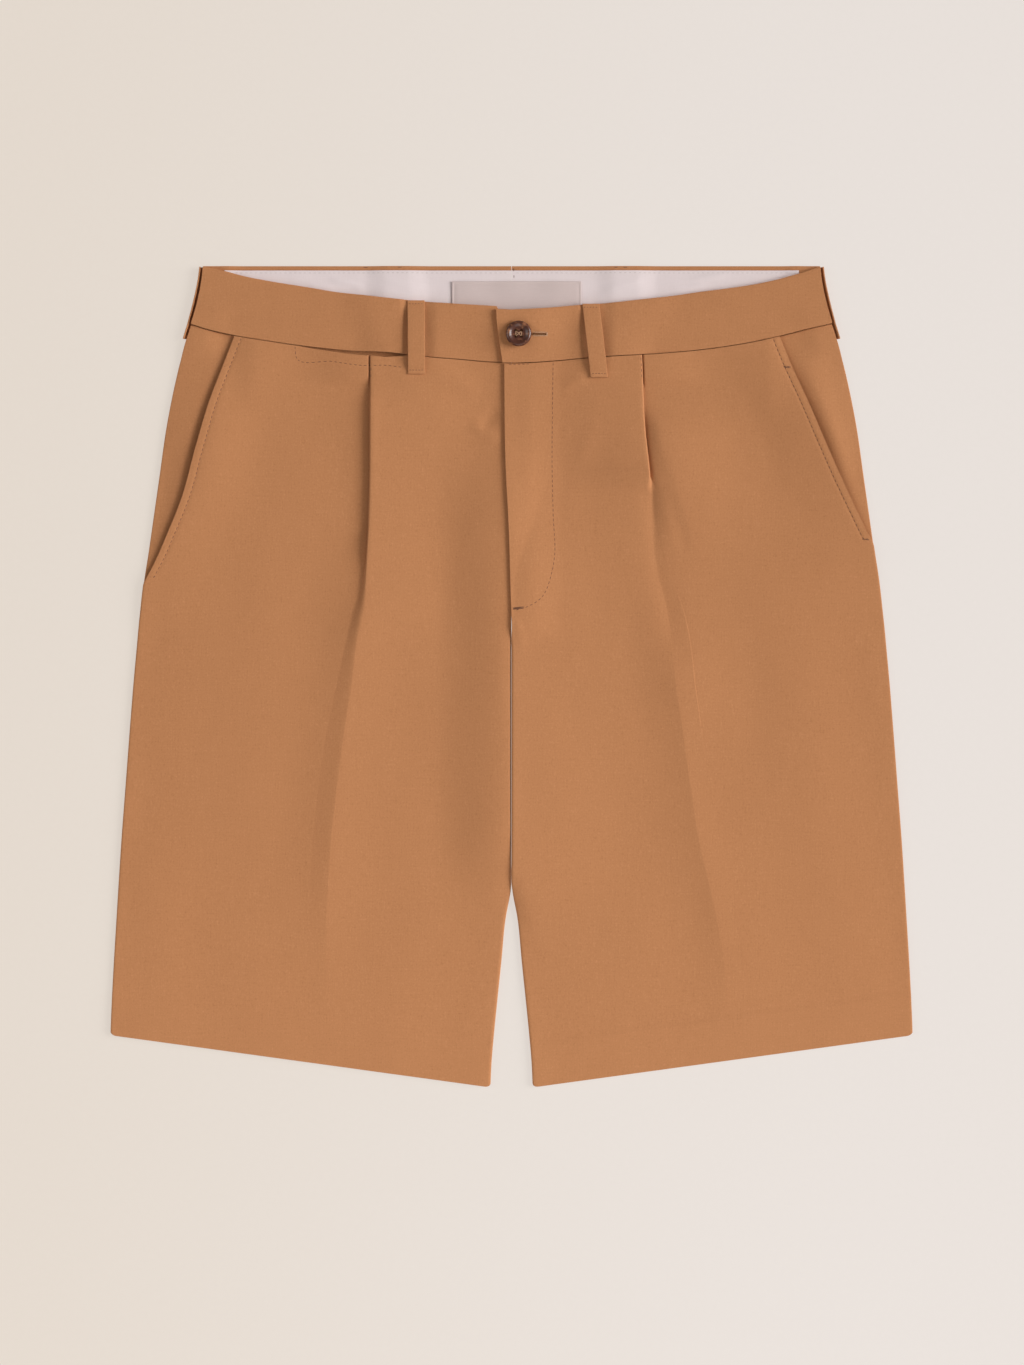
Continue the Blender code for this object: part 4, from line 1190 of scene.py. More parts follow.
        # The sides and inseams turn down to meet the back.
        at_side = (1.0 - mouth) * round_over(ramp(1.0 - edge_room / 1.1))
        inner_room = out - cut.inner_edge(side, y)
        at_inner = cut.legs(y) * round_over(ramp(1.0 - inner_room / cut.edge_turn))
        total -= np.maximum(self.side_drop * at_side, self.inner_drop * at_inner)
        total += self.crease_crest(out, y)
        if side is Side.LEFT:
            beside_seam = smooth((y - 110.0) / 60.0) * fall((y - 306.0) / 20.0)
            total += self.centre_rise * beside_seam * np.exp(-np.maximum(inner_room, 0.0) / 7.0)
        for fold in self.folds:
            total += fold.relief(x, y)
        quiet = smooth(edge_room / 14.0) * smooth(inner_room / 10.0)
        uneven = ripple(11 + side.value, 58.0, 0.16, x, y, 1.7)
        uneven = uneven + ripple(31 + side.value, 21.0, 0.035, x, y, 1.3)
        return total + uneven * quiet

    def rows(self) -> Array:
        """The front's points in mm."""
        cut, side = self.cut, self.side
        shares = edge_shares(self.insets, self.length, self.middle_rows)
        made = []
        for column in self.columns():
            low = settle(cut.hem_height, lambda y: column(y)[0], 10.0)
            high = settle(lambda out: cut.band_seam(side, out) - cut.coin_droop(side, out),
                          lambda y: column(y)[0], 498.0)
            y = mix(low, high - cut.seam_groove / 2, shares)
            out, z = column(y)
            z = z + self.relief(out, y, cut.hem_height(out))
            made.append(np.stack([side.value * out, y, z], axis=1))
        return np.stack(made, axis=1)

    def build(self, finishes: Wardrobe) -> bpy.types.Object:
        """Builds the front.

        Args:
            finishes: The materials.

        Returns:
            The piece, which stands for its CAD node.
        """
        obj = cloth("cloth_front_" + self.side.word, self.rows(), self.wall, finishes.twill)
        stand_for(obj, "front_" + self.side.word)
        return obj


@dataclass
class Back:
    """One back panel, flat on the surface, with the strip of back waistband above it."""

    cut: Cut
    side: Side
    wall: float = 0.95
    middle_rows: int = 96
    curl_room: float = 0.25
    curl_height: float = 0.40
    insets: tuple[float, ...] = (0.0, 0.3, 0.9, 1.8, 3.2, 5.0)

    def outs(self, y: Array) -> Array:
        """Distances out of the columns at each height, as rows of columns."""
        cut = self.cut
        y = np.atleast_1d(y)
        edge = cut.side_fold(y)
        room = cut.seam_gap / 2 + self.curl_room * cut.legs(y)
        inner = np.maximum(cut.lines["inner_edge"](y), room)
        half = cut.loop_width / 2 + cut.loop_room
        loop = (68.0, cut.back_loop_at - half, cut.back_loop_at + half, 88.0)
        spread = mix(1.0, edge / cut.side_fold(np.array(cut.back_band_low)), smooth((495.0 - y) / 60.0))
        places = np.array((*np.linspace(8.0, 62.0, 9), *loop, *np.linspace(96.0, 190.0, 16)))
        middle = places[None, :] * spread[:, None]
        # The first places keep clear of the inner edge, which leaves the middle towards the hem.
        start = inner[:, None] + 8.0
        middle[:, :9] = mix(start, middle[:, 8:9], np.linspace(0.0, 1.0, 9)[None, :])
        near = inner[:, None] + np.array(self.insets[:-1])[None, :]
        far_insets = (*cut.side_insets[:2], 8.0, *self.insets[::-1])
        far = edge[:, None] - np.array(far_insets)[None, :]
        return np.concatenate([near, middle, far], axis=1)

    def curl(self, out: Array, y: Array) -> Array:
        """How far the side and inseam edges turn up to meet the front."""
        cut = self.cut
        side = ramp(1.0 - (cut.side_fold(y) - out) / cut.edge_turn)
        inner = ramp(1.0 - (out - cut.lines["inner_edge"](y)) / cut.edge_turn) * cut.legs(y)
        turn = np.maximum(side * fall((y - 490.0) / 10.0), inner)
        return self.curl_height * round_over(turn)

    def build(self, finishes: Wardrobe) -> bpy.types.Object:
        """Builds the back panel.

        Args:
            finishes: The materials.

        Returns:
            The piece, which stands for its CAD node.
        """
        cut, sign = self.cut, self.side.value
        top = cut.back_band_low - cut.seam_gap / 2
        shares = edge_shares(self.insets, top, self.middle_rows)
        made = []
        for column in range(self.outs(top).shape[1]):
            low = settle(cut.hem_height, lambda y: self.outs(y)[:, column], 10.0)
            y = mix(low, top, shares)
            out = self.outs(y)[:, column]
            z = cut.back_wall / 2 + cut.back_lift(out, y) + self.curl(out, y)
            made.append(np.stack([sign * out, y, z], axis=1))
        obj = cloth("cloth_back_" + self.side.word, np.stack(made, axis=1), self.wall, finishes.twill, 0.25)
        stand_for(obj, "back_" + self.side.word)
        return obj


@dataclass
class BackBand:
    """The back half of the waistband, seen from inside: its turned top edge and the pale lining below it."""

    cut: Cut
    side: Side
    wall: float = 1.4
    lining_wall: float = 0.6
    folds: tuple[Fold, ...] = ()

    def outs(self, y: Array) -> Array:
        """Distances out of the columns at each height."""
        return Back(self.cut, self.side).outs(y)

    def build(self, finishes: Wardrobe) -> list[bpy.types.Object]:
        """Builds the band and its lining.

        Args:
            finishes: The materials.

        Returns:
            The two pieces.
        """
        cut, sign, word = self.cut, self.side.value, self.side.word
        low, top = cut.back_band_low + cut.seam_gap / 2, cut.waist_top
        strip = top - cut.back_strip
        heights = np.array((low, low + 0.5, low + 2.0, *np.linspace(524.0, strip - 3.0, 12), strip - 1.8,
                            strip - 1.2, strip - 0.7, strip - 0.2, strip + 0.3, strip + 0.8, strip + 1.2,
                            top - 0.4, top))
        outs = self.outs(heights)
        y = heights[:, None] + 0.0 * outs
        rolled = 0.9 * smooth((y - strip + 1.2) / 2.1) * (1.0 - 0.35 * smooth((y - top + 1.6) / 1.6))
        rolled = rolled * fall((outs - cut.side_fold(y) + 16.0) / 6.0)
        uneven = ripple(5 + sign, 30.0, 0.05, sign * outs, y * 0.0) * smooth((y - 550.0) / 4.0)
        z = cut.back_band_wall / 2 + cut.back_lift(outs, y) + rolled + np.abs(uneven)
        band = cloth("cloth_waistband_back_" + word, np.stack([sign * outs, y, z], axis=2), self.wall,
                     finishes.twill, 0.4)
        stand_for(band, "waistband_back_" + word)

        heights = np.array((low + 0.8, *np.linspace(521.0, 545.0, 12), *np.linspace(546.0, strip - 0.9, 12)))
        inside = outs.shape[1] - len(cut.side_insets) - 4
        outs = self.outs(heights)[:, :inside]
        fine = np.linspace(0, inside - 1, inside * 4)
        outs = np.stack([np.interp(fine, np.arange(inside), row) for row in outs])
        y = heights[:, None] + 0.0 * outs
        x = sign * outs
        relief = sum(fold.relief(x, y) for fold in self.folds)
        relief = relief + ripple(17 + sign, 24.0, 0.07, x, y, 0.6) + 0.1
        relief = relief * smooth((strip - y + 0.5) / 3.0)
        seen = smooth((y - cut.band_top(self.side, outs) + 2.0) / 3.0)
        z = cut.back_band_wall + 0.45 + cut.back_lift(outs, y) + relief * seen
        lining = cloth("cloth_waistband_lining_" + word, np.stack([x, y, z], axis=2), self.lining_wall,
                       finishes.lining, 0.2)
        stand_for(lining, "waistband_lining_" + word)
        "waistband_back_" + word
        return [band, lining]


@dataclass
class Facing:
    """The hip piece that shows in a slant pocket's mouth."""

    cut: Cut
    side: Side
    wall: float = 0.9
    curl_height: float = 0.2
    bulge: float = 2.2
    length: float = 150.0
    middle_rows: int = 60
    end_insets: tuple[float, ...] = (0.0, 0.3, 0.9, 1.8)
    insets: tuple[float, ...] = (14.8, 13.0, 11.3, 9.0, 7.0, 5.0, 3.4, 2.2, 1.4, 0.8, 0.4, 0.15)

    def build(self, finishes: Wardrobe) -> bpy.types.Object:
        """Builds the facing.

        Args:
            finishes: The materials.

        Returns:
            The piece, which stands for its CAD node.
        """
        cut, side = self.cut, self.side

        def outs(y: Array) -> Array:
            y = np.atleast_1d(y)
            edge = cut.side_fold(y)
            inner = cut.pocket_edge(side, y) - cut.facing_tuck
            shares = np.linspace(0.0, 1.0, 14)[:-1]
            near = mix(inner[:, None], (edge - self.insets[0])[:, None], shares[None, :])
            return np.concatenate([near, edge[:, None] - np.array(self.insets)[None, :]], axis=1)

        low = cut.pocket_low(side) + 1.5
        made = []
        for column in range(outs(np.array([low])).shape[1]):
            high = settle(lambda out: cut.band_seam(side, out), lambda y: outs(y)[:, column], 512.0)
            high = high - cut.seam_groove / 2
            y = mix(low, high, edge_shares(self.end_insets, self.length, self.middle_rows))
            out = outs(y)[:, column]
            room = cut.side_fold(y) - out
            curl = self.curl_height * round_over(ramp(1.0 - room / cut.edge_turn))
            seam = -0.1 * bell((cut.band_seam(side, out) - y) / 1.1)
            uneven = ripple(71 + side.value, 34.0, 0.12, out, y, 1.5) + 0.12
            past = out - cut.pocket_edge(side, y)
            bulge = self.bulge * smooth((past + 1.5) / 11.0) * smooth(room / 24.0)
            bulge = bulge * np.sin(math.pi * ramp((y - low) / (high - low)))
            z = cut.back_wall + cut.facing_gap + 0.5 + cut.back_lift(out, y) - curl + seam + bulge
            z = z + uneven * smooth(room / 6.0)
            made.append(np.stack([side.value * out, y, z], axis=1))
        obj = cloth("cloth_pocket_facing_" + side.word, np.stack(made, axis=1), self.wall, finishes.twill,
                    0.25)
        stand_for(obj, "pocket_facing_" + side.word)
        return obj


@dataclass
class CoinFacing:
    """The strip of cloth that shows in the coin pocket's slit."""

    cut: Cut
    depth: float = 16.0
    wall: float = 0.5

    def build(self, finishes: Wardrobe) -> bpy.types.Object:
        """Builds the strip.

        Args:
            finishes: The materials.

        Returns:
            The piece, which stands for its CAD node.
        """
        cut = self.cut
        out = np.linspace(cut.coin_inner - 2.0, cut.coin_outer + 2.0, 40)[None, :]
        share = np.linspace(0.0, 1.0, 12)[:, None]
        seam = cut.band_seam(Side.RIGHT, out)
        y = mix(seam - self.depth, seam + 1.0, share)
        z = cut.back_wall + 0.35 + cut.back_lift(out, y)
        points = np.stack([-out + 0.0 * y, y, z], axis=2)
        obj = cloth("cloth_coin_pocket_facing", points, self.wall, finishes.twill, 0.15)
        stand_for(obj, "coin_pocket_facing")
        return obj


@dataclass
class FrontBand:
    """A front half of the waistband, in two layers with a soft fold along its top."""

    cut: Cut
    side: Side
    wall: float = 1.9
    length: float = 215.0
    height: float = 38.0
    columns: int = 190
    rows: int = 22
    insets: tuple[float, ...] = (0.0, 0.25, 0.7, 1.5, 3.0)
    # Middle, length and width of the buttonhole.
    buttonhole: tuple[float, float, float] = (13.4, 20.0, 0.8)
    loop_dip: float = 1.1

    def points(self) -> Array:
        """The band's points in mm."""
        cut, side = self.cut, self.side
        share = edge_shares(self.insets, self.height, self.rows)[:, None]
        part = edge_shares(self.insets, self.length, self.columns)[None, :]
        guess = mix(493.0, 531.0, share)
        inner = cut.lines["tab_edge"](guess) if side is Side.LEFT else -cut.fly_underlap + 0.0 * guess
        outer = cut.lines["band_side"](mix(518.2, cut.waist_top - 0.2, share))
        out = mix(inner, outer, part)
        y = mix(cut.band_seam(side, out) + cut.seam_gap / 2, cut.band_top(side, out), share)
        z = cut.band_floor(side, out, share + 0.0 * out) + cut.band_wall / 2
        return np.stack([side.value * out, y, z], axis=2)

    def build(self, finishes: Wardrobe) -> bpy.types.Object:
        """Builds the band, with its buttonhole on the left half.

        Args:
            finishes: The materials.

        Returns:
            The piece, which stands for its CAD node.
        """
        cut, side = self.cut, self.side
        rows = self.points()
        x, y = rows[..., 0], rows[..., 1]
        out = np.abs(x)
        up, down = y - cut.band_seam(side, out), cut.band_top(side, out) - y
        relief = -0.06 * bell(up / 0.8) - 0.25 * bell(down / 0.8)
        relief += 0.10 * bell((up - 3.6) / 2.6) + ripple(41 + side.value, 44.0, 0.13, x, y, 0.7)
        relief += ripple(53 + side.value, 15.0, 0.03, x, y)
        past = x - side.value * mix(*BeltLoops(cut).middles[side], 0.4)
        dip = np.where(past > 0, fall((past - 5.0) / 10.0), fall((-past - 5.0) / 7.0))
        rows[..., 2] += relief - self.loop_dip * dip
        obj = cloth("cloth_waistband_front_" + side.word, rows, self.wall, finishes.twill, 0.3)
        if side is Side.LEFT:
            self.cut_buttonhole(obj)
        stand_for(obj, "waistband_front_" + side.word)
        return obj

    def cut_buttonhole(self, obj: bpy.types.Object) -> None:
        """Cuts the buttonhole's slit through the band."""
        middle, length, width = self.buttonhole
        bpy.ops.object.select_all(action="DESELECT")
        bpy.ops.mesh.primitive_cube_add(size=1.0, location=place((middle, self.cut.button_height, 7.0)),
                                        scale=(length * MM, width * MM, 14 * MM))
        cutter = bpy.context.object
        bpy.ops.object.transform_apply(location=True, rotation=False, scale=True)
        boolean = obj.modifiers.new("slit", "BOOLEAN")
        boolean.operation, boolean.solver, boolean.object = "DIFFERENCE", "EXACT", cutter
        apply_modifiers(obj)
        bpy.data.objects.remove(cutter)
        obj.data.shade_smooth()


@dataclass
class Label:
    """The blank woven label inside the back waistband, with its edges turned under."""

    cut: Cut
    right_end: float = -40.5
    left_end: float = 47.3
    length: float = 88.0
    height: float = 24.5
    low: float = 522.5
    top: float = 547.6
    wall: float = 0.5
    insets: tuple[float, ...] = (0.0, 0.3, 0.9, 1.3, 1.7, 2.4)

    def build(self, finishes: Wardrobe) -> bpy.types.Object:
        """Builds the label.

        Args:
            finishes: The materials.

        Returns:
            The piece, which stands for its CAD node.
        """
        cut = self.cut
        x = np.interp(edge_shares(self.insets, self.length, 40), (0, 1), (self.right_end, self.left_end))
        y = np.interp(edge_shares(self.insets, self.height, 14), (0, 1), (self.low, self.top))
        x, y = np.meshgrid(x, y)
        room = np.minimum(np.minimum(x - self.right_end, self.left_end - x), self.top - y)
        groove = -0.16 * bell((room - 1.5) / 0.35)
        relief = ripple(63, 26.0, 0.12, x, y, 0.8)
        z = cut.back_band_wall + 1.25 + self.wall / 2 + groove + relief
        obj = cloth("cloth_label", np.stack([x, y, z], axis=2), self.wall, finishes.satin, 0.2)
        stand_for(obj, "label")
        return obj


@dataclass
class BeltLoops:
    """The six belt loops: two in front, two round the side folds and two folded flat under the back."""

    cut: Cut
    length: float = 50.0
    arch: float = 2.4
    wall: float = 1.0
    side_low: float = 508.6
    # Distance out of each front loop's middle, at its top and at its foot.
    middles: dict[Side, Point] = field(
        default_factory=lambda: {Side.RIGHT: (64.8, 64.4), Side.LEFT: (53.7, 59.5)})
    # (past the side fold, height) of a side loop's bend.
    round_side: tuple[Point, ...] = ((-9.0, 0.5), (-3.0, 0.5), (0.0, 0.55), (1.2, 1.1), (1.85, 2.2),
                                     (2.0, 3.3), (1.85, 4.3))

    def top(self, side: Side) -> float:
        """Height of a front loop's top end."""
        return float(self.cut.band_top(side, self.middles[side][0])) + 0.3

    def across(self) -> Array:
        """Places across a loop, in mm from its middle."""
        half = self.cut.loop_width / 2
        return np.concatenate([[-half, -half + 0.3, -half + 0.8], np.linspace(-half + 1.6, half - 1.6, 8),
                               [half - 0.8, half - 0.3, half]])

    def front(self, side: Side, ground: Ground, finishes: Wardrobe) -> bpy.types.Object:
        """A front loop, from below the seam over the waistband to its top edge.

        Args:
            side: The side it is on.
            ground: The cloth below it.
            finishes: The materials.

        Returns:
            The piece, which stands for its CAD node.
        """
        cut = self.cut
        top_out, low_out = self.middles[side]
        top = self.top(side)
        shares = edge_shares((0.0, 0.3, 0.8, 1.6, 2.4, 3.4), self.length, 36)
        rows = []
        for share in shares:
            y = mix(top - self.length, top, share)
            middle = mix(low_out, top_out, share)
            x = side.value * middle
            levels = [ground.height(x + aside, y + near) / MM for near in (-4.0, -2.0, 0.0, 2.0, 4.0)
                      for aside in (-6.2, -3.0, 0.0, 3.0, 6.2)]
            rows.append((x, y, max(levels)))
        rows = np.array(rows)
        kernel = np.ones(5) / 5
        level = np.convolve(np.pad(rows[:, 2], 2, mode="edge"), kernel, mode="valid")
        rise = np.clip((shares - 0.07) / 0.86, 0.0, 1.0)
        lift = self.arch * np.power(np.sin(math.pi * rise), 0.7)
        ends = 0.45 * (bell((shares - 0.035) / 0.03) + bell((shares - 0.965) / 0.03))
        z = level + cut.seam_gap + self.wall / 2 + lift - ends * 0.5
        across = self.across()
        crown = -0.12 * np.power(np.abs(across) / across[-1], 4.0)
        points = np.stack([rows[:, :1] + across[None, :], rows[:, 1:2] + 0.0 * across[None, :],
                           z[:, None] + crown[None, :]], axis=2)
        obj = cloth("cloth_belt_loop_front_" + side.word, points, self.wall, finishes.twill, 0.35)
        stand_for(obj, "belt_loop_front_" + side.word)
        return obj

    def back(self, side: Side, finishes: Wardrobe) -> bpy.types.Object:
        """A back loop, folded flat under the back panel."""
        cut = self.cut
        y = np.linspace(cut.back_loop_low, cut.waist_top - 0.4, 24)[:, None]
        x = side.value * cut.back_loop_at + self.across()[None, :]
        z = 0.5 + 0.0 * (x + y)
        points = np.stack([x + 0.0 * y, y + 0.0 * x, z], axis=2)
        obj = cloth("cloth_belt_loop_back_" + side.word, points, self.wall - 0.05, finishes.twill, 0.3)
        stand_for(obj, "belt_loop_back_" + side.word)
        return obj

    def side(self, side: Side, finishes: Wardrobe) -> bpy.types.Object:
        """A loop round the side fold: flat under the back and upright beside the fold."""
        cut = self.cut
        shares = edge_shares((0.0, 0.4, 1.2, 2.4), self.length, 26)[:, None]
        y = mix(self.side_low, cut.waist_top - 0.6, shares)
        steps = np.linspace(0, len(self.round_side) - 1, 26)
        past = Line([(k, point[0]) for k, point in enumerate(self.round_side)])(steps)[None, :]
        z = Line([(k, point[1]) for k, point in enumerate(self.round_side)])(steps)[None, :]
        stand = 0.35 * np.sin(math.pi * shares)
        out = cut.side_fold(y) + past + stand * smooth(past)
        points = np.stack([side.value * out, y + 0.0 * out, z + 0.0 * out], axis=2)
        obj = cloth("cloth_belt_loop_side_" + side.word, points, self.wall - 0.05, finishes.twill, 0.3)
        stand_for(obj, "belt_loop_side_" + side.word)
        return obj

    def build(self, ground: Ground, finishes: Wardrobe) -> list[bpy.types.Object]:
        """Builds all six.

        Args:
            ground: The cloth below the front loops.
            finishes: The materials.

        Returns:
            The pieces.
        """
        made = []
        for side in Side:
            made += [self.front(side, ground, finishes), self.side(side, finishes), self.back(side, finishes)]
        return made


@dataclass
class Button:
    """The four-hole horn button on the waistband tab, and the thread through its holes."""

    cut: Cut
    diameter: float = 18.0
    height: float = 3.2
    hole: float = 2.1
    spacing: float = 3.6
    clear: float = 0.35
    off_middle: float = 4.8
    # Shares of the diameter and the height that the plain disc has before it is shaped.
    blank: float = 0.93
    blank_height: float = 0.78
    # (thickness, depth) of each ring, from the outside of the face inwards, in mm.
    face_rings: tuple[Point, ...] = ((0.65, 0.45), (0.55, 0.22), (0.6, 0.0), (0.75, -0.42), (0.8, -0.55),
                                     (1.1, -0.22), (1.2, -0.02))
    back_rings: tuple[Point, ...] = ((0.9, 0.35), (1.5, 0.22))

    @property
    def at(self) -> Point:
        """Its place, in mm."""
        return self.off_middle, self.cut.button_height

    def level(self) -> float:
        """Height of the button's underside in mm."""
        cut, (x, y) = self.cut, self.at
        around = [(Side.LEFT, x, y + self.diameter / 2), (Side.LEFT, x, y - self.diameter / 2),
                  (Side.LEFT, -6.0, y + self.diameter / 2)]
        return max(cut.band_surface(*spot) for spot in around) + cut.seam_gap + self.clear

    def inset(self, disc: bpy.types.Object, wanted: Callable[[float], bool], rings: Sequence[Point]) -> None:
        """Selects faces by their normal's z, in edit mode, and insets them ring by ring."""
        bpy.ops.mesh.select_all(action="DESELECT")
        mesh = bmesh.from_edit_mesh(disc.data)
        for face in mesh.faces:
            face.select = wanted(face.normal.z)
        bmesh.update_edit_mesh(disc.data)
        for thickness, depth in rings:
            bpy.ops.mesh.inset(thickness=thickness * MM, depth=depth * MM)

    def disc(self, finishes: Wardrobe) -> bpy.types.Object:
        """The turned disc with its rolled rim, dished middle and four drilled holes."""
        x, y = self.at
        level = self.level()
        bpy.ops.object.select_all(action="DESELECT")
        radius, height = self.diameter / 2, self.height * self.blank_height
        bpy.ops.mesh.primitive_cylinder_add(vertices=72, radius=self.blank * radius * MM, depth=height * MM,
                                            location=place((x, y, level + height / 2)))
        disc = bpy.context.object
        bpy.ops.object.transform_apply(location=True, rotation=False, scale=False)
        bpy.ops.object.mode_set(mode="EDIT")
        self.inset(disc, lambda up: up > 0.9, self.face_rings)
        self.inset(disc, lambda up: up < -0.9, self.back_rings)
        self.inset(disc, lambda up: abs(up) < 0.3, ())
        bpy.ops.mesh.subdivide(number_cuts=1)
        bpy.ops.object.mode_set(mode="OBJECT")
        middle = Vector(place((x, y, 0.0)))
        for vert in disc.data.vertices:
            aside = Vector((vert.co.x - middle.x, vert.co.y - middle.y, 0.0))
            waist = 1.0 - abs((vert.co.z / MM - level) / height - 0.5) * 2.0
            if aside.length > 0.92 * radius * MM * 0.99 and waist > 0.2:
                vert.co += aside.normalized() * 0.07 * self.diameter / 2 * MM
        subsurf = disc.modifiers.new("soft", "SUBSURF")
        subsurf.levels = subsurf.render_levels = 1
        drills = []
        for across, up in ((-1, -1), (1, -1), (1, 1), (-1, 1)):
            spot = place((x + across * self.spacing / 2, y + up * self.spacing / 2, level))
            bpy.ops.mesh.primitive_cylinder_add(vertices=20, radius=self.hole / 2 * MM, depth=0.03,
                                                location=spot)
            drills.append(bpy.context.object)
            boolean = disc.modifiers.new("drill", "BOOLEAN")
            boolean.operation, boolean.solver, boolean.object = "DIFFERENCE", "EXACT", drills[-1]
        apply_modifiers(disc)
        for drill in drills:
            bpy.data.objects.remove(drill)
        disc.name = disc.data.name = "horn_button"
        disc.data.materials.clear()
        disc.data.materials.append(finishes.horn)
        alone(disc)
        bpy.ops.object.shade_smooth_by_angle(angle=math.radians(40))
        stand_for(disc, "button")
        return disc

    def build(self, finishes: Wardrobe) -> list[bpy.types.Object]:
        """Builds the button and its thread.

        Args:
            finishes: The materials.

        Returns:
            The two pieces.
        """
        disc = self.disc(finishes)
        x, y = self.at
        half = self.spacing / 2 + 0.15
        sewing = Stitching(Ground([disc]), finishes.pale_thread, width=0.6, height=0.6, sink=-0.1)
        ends = [((x - half, y - half), (x + half, y + half)), ((x - half, y + half), (x + half, y - half)),
                ((x - half, y - half + 0.3), (x - half, y + half - 0.3)),
                ((x + half, y - half + 0.3), (x + half, y + half - 0.3))]
        level = self.level() + 1.9
        sewing.ground.height = lambda x, y: level * MM
        return [disc, sewing.sew("thread_button", ends)]


@dataclass
class Sewing:
    """Every line of stitching that shows: pockets, fly, coin pocket, pleats, waistband, loops and lining."""

    cut: Cut
    fly_line: tuple[Point, ...] = ((28.2, 492.4), (27.8, 460.0), (27.5, 429.8), (28.2, 390.0), (28.9, 358.4),
                                   (26.9, 348.2), (20.1, 332.5), (10.5, 326.4), (-0.3, 323.4))
    fly_tack: tuple[Point, ...] = ((0.4, 324.6), (9.2, 325.6))
    coin_box: tuple[Point, ...] = ((-147.0, 503.6), (-146.2, 495.8), (-121.5, 493.0), (-102.3, 490.3),
                                   (-84.0, 490.2), (-74.5, 489.0))

    # Start and end across of the stitches that hold the hidden back loops.
    back_tacks: tuple[Point, ...] = ((-100.8, -97.6), (-77.6, -74.4), (69.8, 73.0), (75.6, 78.8))
    lining_line_height: float = 553.4

    def pocket_line(self, side: Side) -> list[Point]:
        """The topstitching beside a slant pocket's edge."""
        cut = self.cut
        top = 509.0 if side is Side.RIGHT else 508.0
        heights = np.linspace(top, cut.pocket_low(side) + 3.0, 26)
        edge = cut.pocket_edge(side, heights)
        slope = np.gradient(edge, heights)
        inset = cut.stitch_inset * np.minimum(1.0, 1.0 / np.hypot(1.0, slope))
        return [(side.value * (e - i), y) for e, i, y in zip(edge, inset, heights)]

    def pocket_tacks(self, side: Side) -> list[tuple[Point, Point]]:
        """The bar tacks across both ends of a slant pocket's stitching."""
        cut = self.cut
        tacks = []
        for y in (489.4, cut.pocket_low(side) + 3.6):
            edge = float(cut.pocket_edge(side, y))
            tacks += bar((side.value * (edge - 0.6), y), (side.value * (edge - 6.0), y + 0.6), 3, 0.42)
        return tacks

    def loop_rows(self, side: Side) -> list[tuple[Point, Point]]:
        """The rows of stitches across a front loop, a little inside its two ends."""
        belt = BeltLoops(self.cut)
        top_out, low_out = belt.middles[side]
        top = belt.top(side)
        rows = []
        for middle, y in ((top_out, top - 2.4), (low_out, top - belt.length + 2.6)):
            starts = side.value * middle + np.array((-4.9, -2.9, -0.9, 1.1, 3.1))
            rows += [((x, y), (x + 1.5, y)) for x in starts]
        return rows

    def inside_lines(self, sewing: Stitching) -> list[tuple[Point, Point]]:
        """The dark stitches inside the back: down the centre seam and across the hidden loops."""
        cut = self.cut
        level = cut.waist_top - 0.9
        lines = sewing.line([(1.5, cut.waist_top - 1.2), (1.7, cut.waist_top - 9.6)])
        for start, end in self.back_tacks:
            lines.append(((start, level), (end, level)))
        return lines

    def purl(self) -> list[tuple[Point, Point]]:
        """The close stitches round the end of the buttonhole that the button leaves in sight."""
        y, start, end, pitch = self.cut.button_height, 14.6, 23.6, 0.62
        sides = [((x, y + up * 0.55), (x, y + up * 1.75)) for x in np.arange(start, end, pitch)
                 for up in (-1, 1)]
        return sides + bar((end + 0.2, y - 1.6), (end + 0.2, y + 1.6), 2, -0.5)

    def build(self, shell: Ground, inside: Ground, loops: Ground,
              finishes: Wardrobe) -> list[bpy.types.Object]:
        """Lays all the stitching on the pieces.

        Args:
            shell: The fronts and the front waistband halves.
            inside: The linings, back bands and label.
            loops: The belt loops.
            finishes: The materials.

        Returns:
            The pieces of stitching.
        """
        cut = self.cut
        made = []
        sewing = Stitching(shell, finishes.thread)
        for side in Side:
            stitches = sewing.line(self.pocket_line(side)) + self.pocket_tacks(side)
            crease = cut.crease(side, np.array([482.0, 496.0]))
            across = [side.value * (float(out) - 0.9) for out in crease]
            pleat_top = 490.0 if side is Side.RIGHT else 496.0
            stitches += sewing.line([(across[0], 482.0), (across[1], pleat_top)])
            made.append(sewing.sew("thread_front_" + side.word, stitches))
        fly = sewing.line(self.fly_line) + bar(self.fly_tack[0], self.fly_tack[1], 3, 0.5)
        made.append(sewing.sew("thread_fly", fly))
        coin = sewing.line(self.coin_box)
        coin += bar((-73.2, 497.6), (-73.2, 489.4), 2, 0.5) + bar((-69.4, 497.2), (-69.4, 489.2), 2, 0.5)
        made.append(sewing.sew("thread_coin_pocket", coin))
        seam = [(float(x), float(cut.band_seam(Side.LEFT, x)) - 1.0) for x in np.linspace(-5.0, 12.5, 6)]
        short = Stitching(shell, finishes.thread, length=2.0, gap=0.7)
        made.append(sewing.sew("thread_fly_top", short.line(seam)))
        for side in Side:
            rows = Stitching(loops, finishes.thread, width=0.5)
            made.append(rows.sew("thread_loop_" + side.word, self.loop_rows(side)))
        lines = Stitching(inside, finishes.thread)
        made.append(lines.sew("thread_back_seam", self.inside_lines(lines)))
        pale = Stitching(inside, finishes.white_thread, width=0.45, height=0.2)
        for side in Side:
            path = [(side.value * out, self.lining_line_height) for out in (3.0, 70.0, 130.0, 188.0)]
            made.append(pale.sew("thread_lining_" + side.word, pale.line(path)))
        purl = Stitching(shell, finishes.pale_thread, width=0.55, height=0.45)
        made.append(purl.sew("thread_buttonhole", self.purl()))
        return made


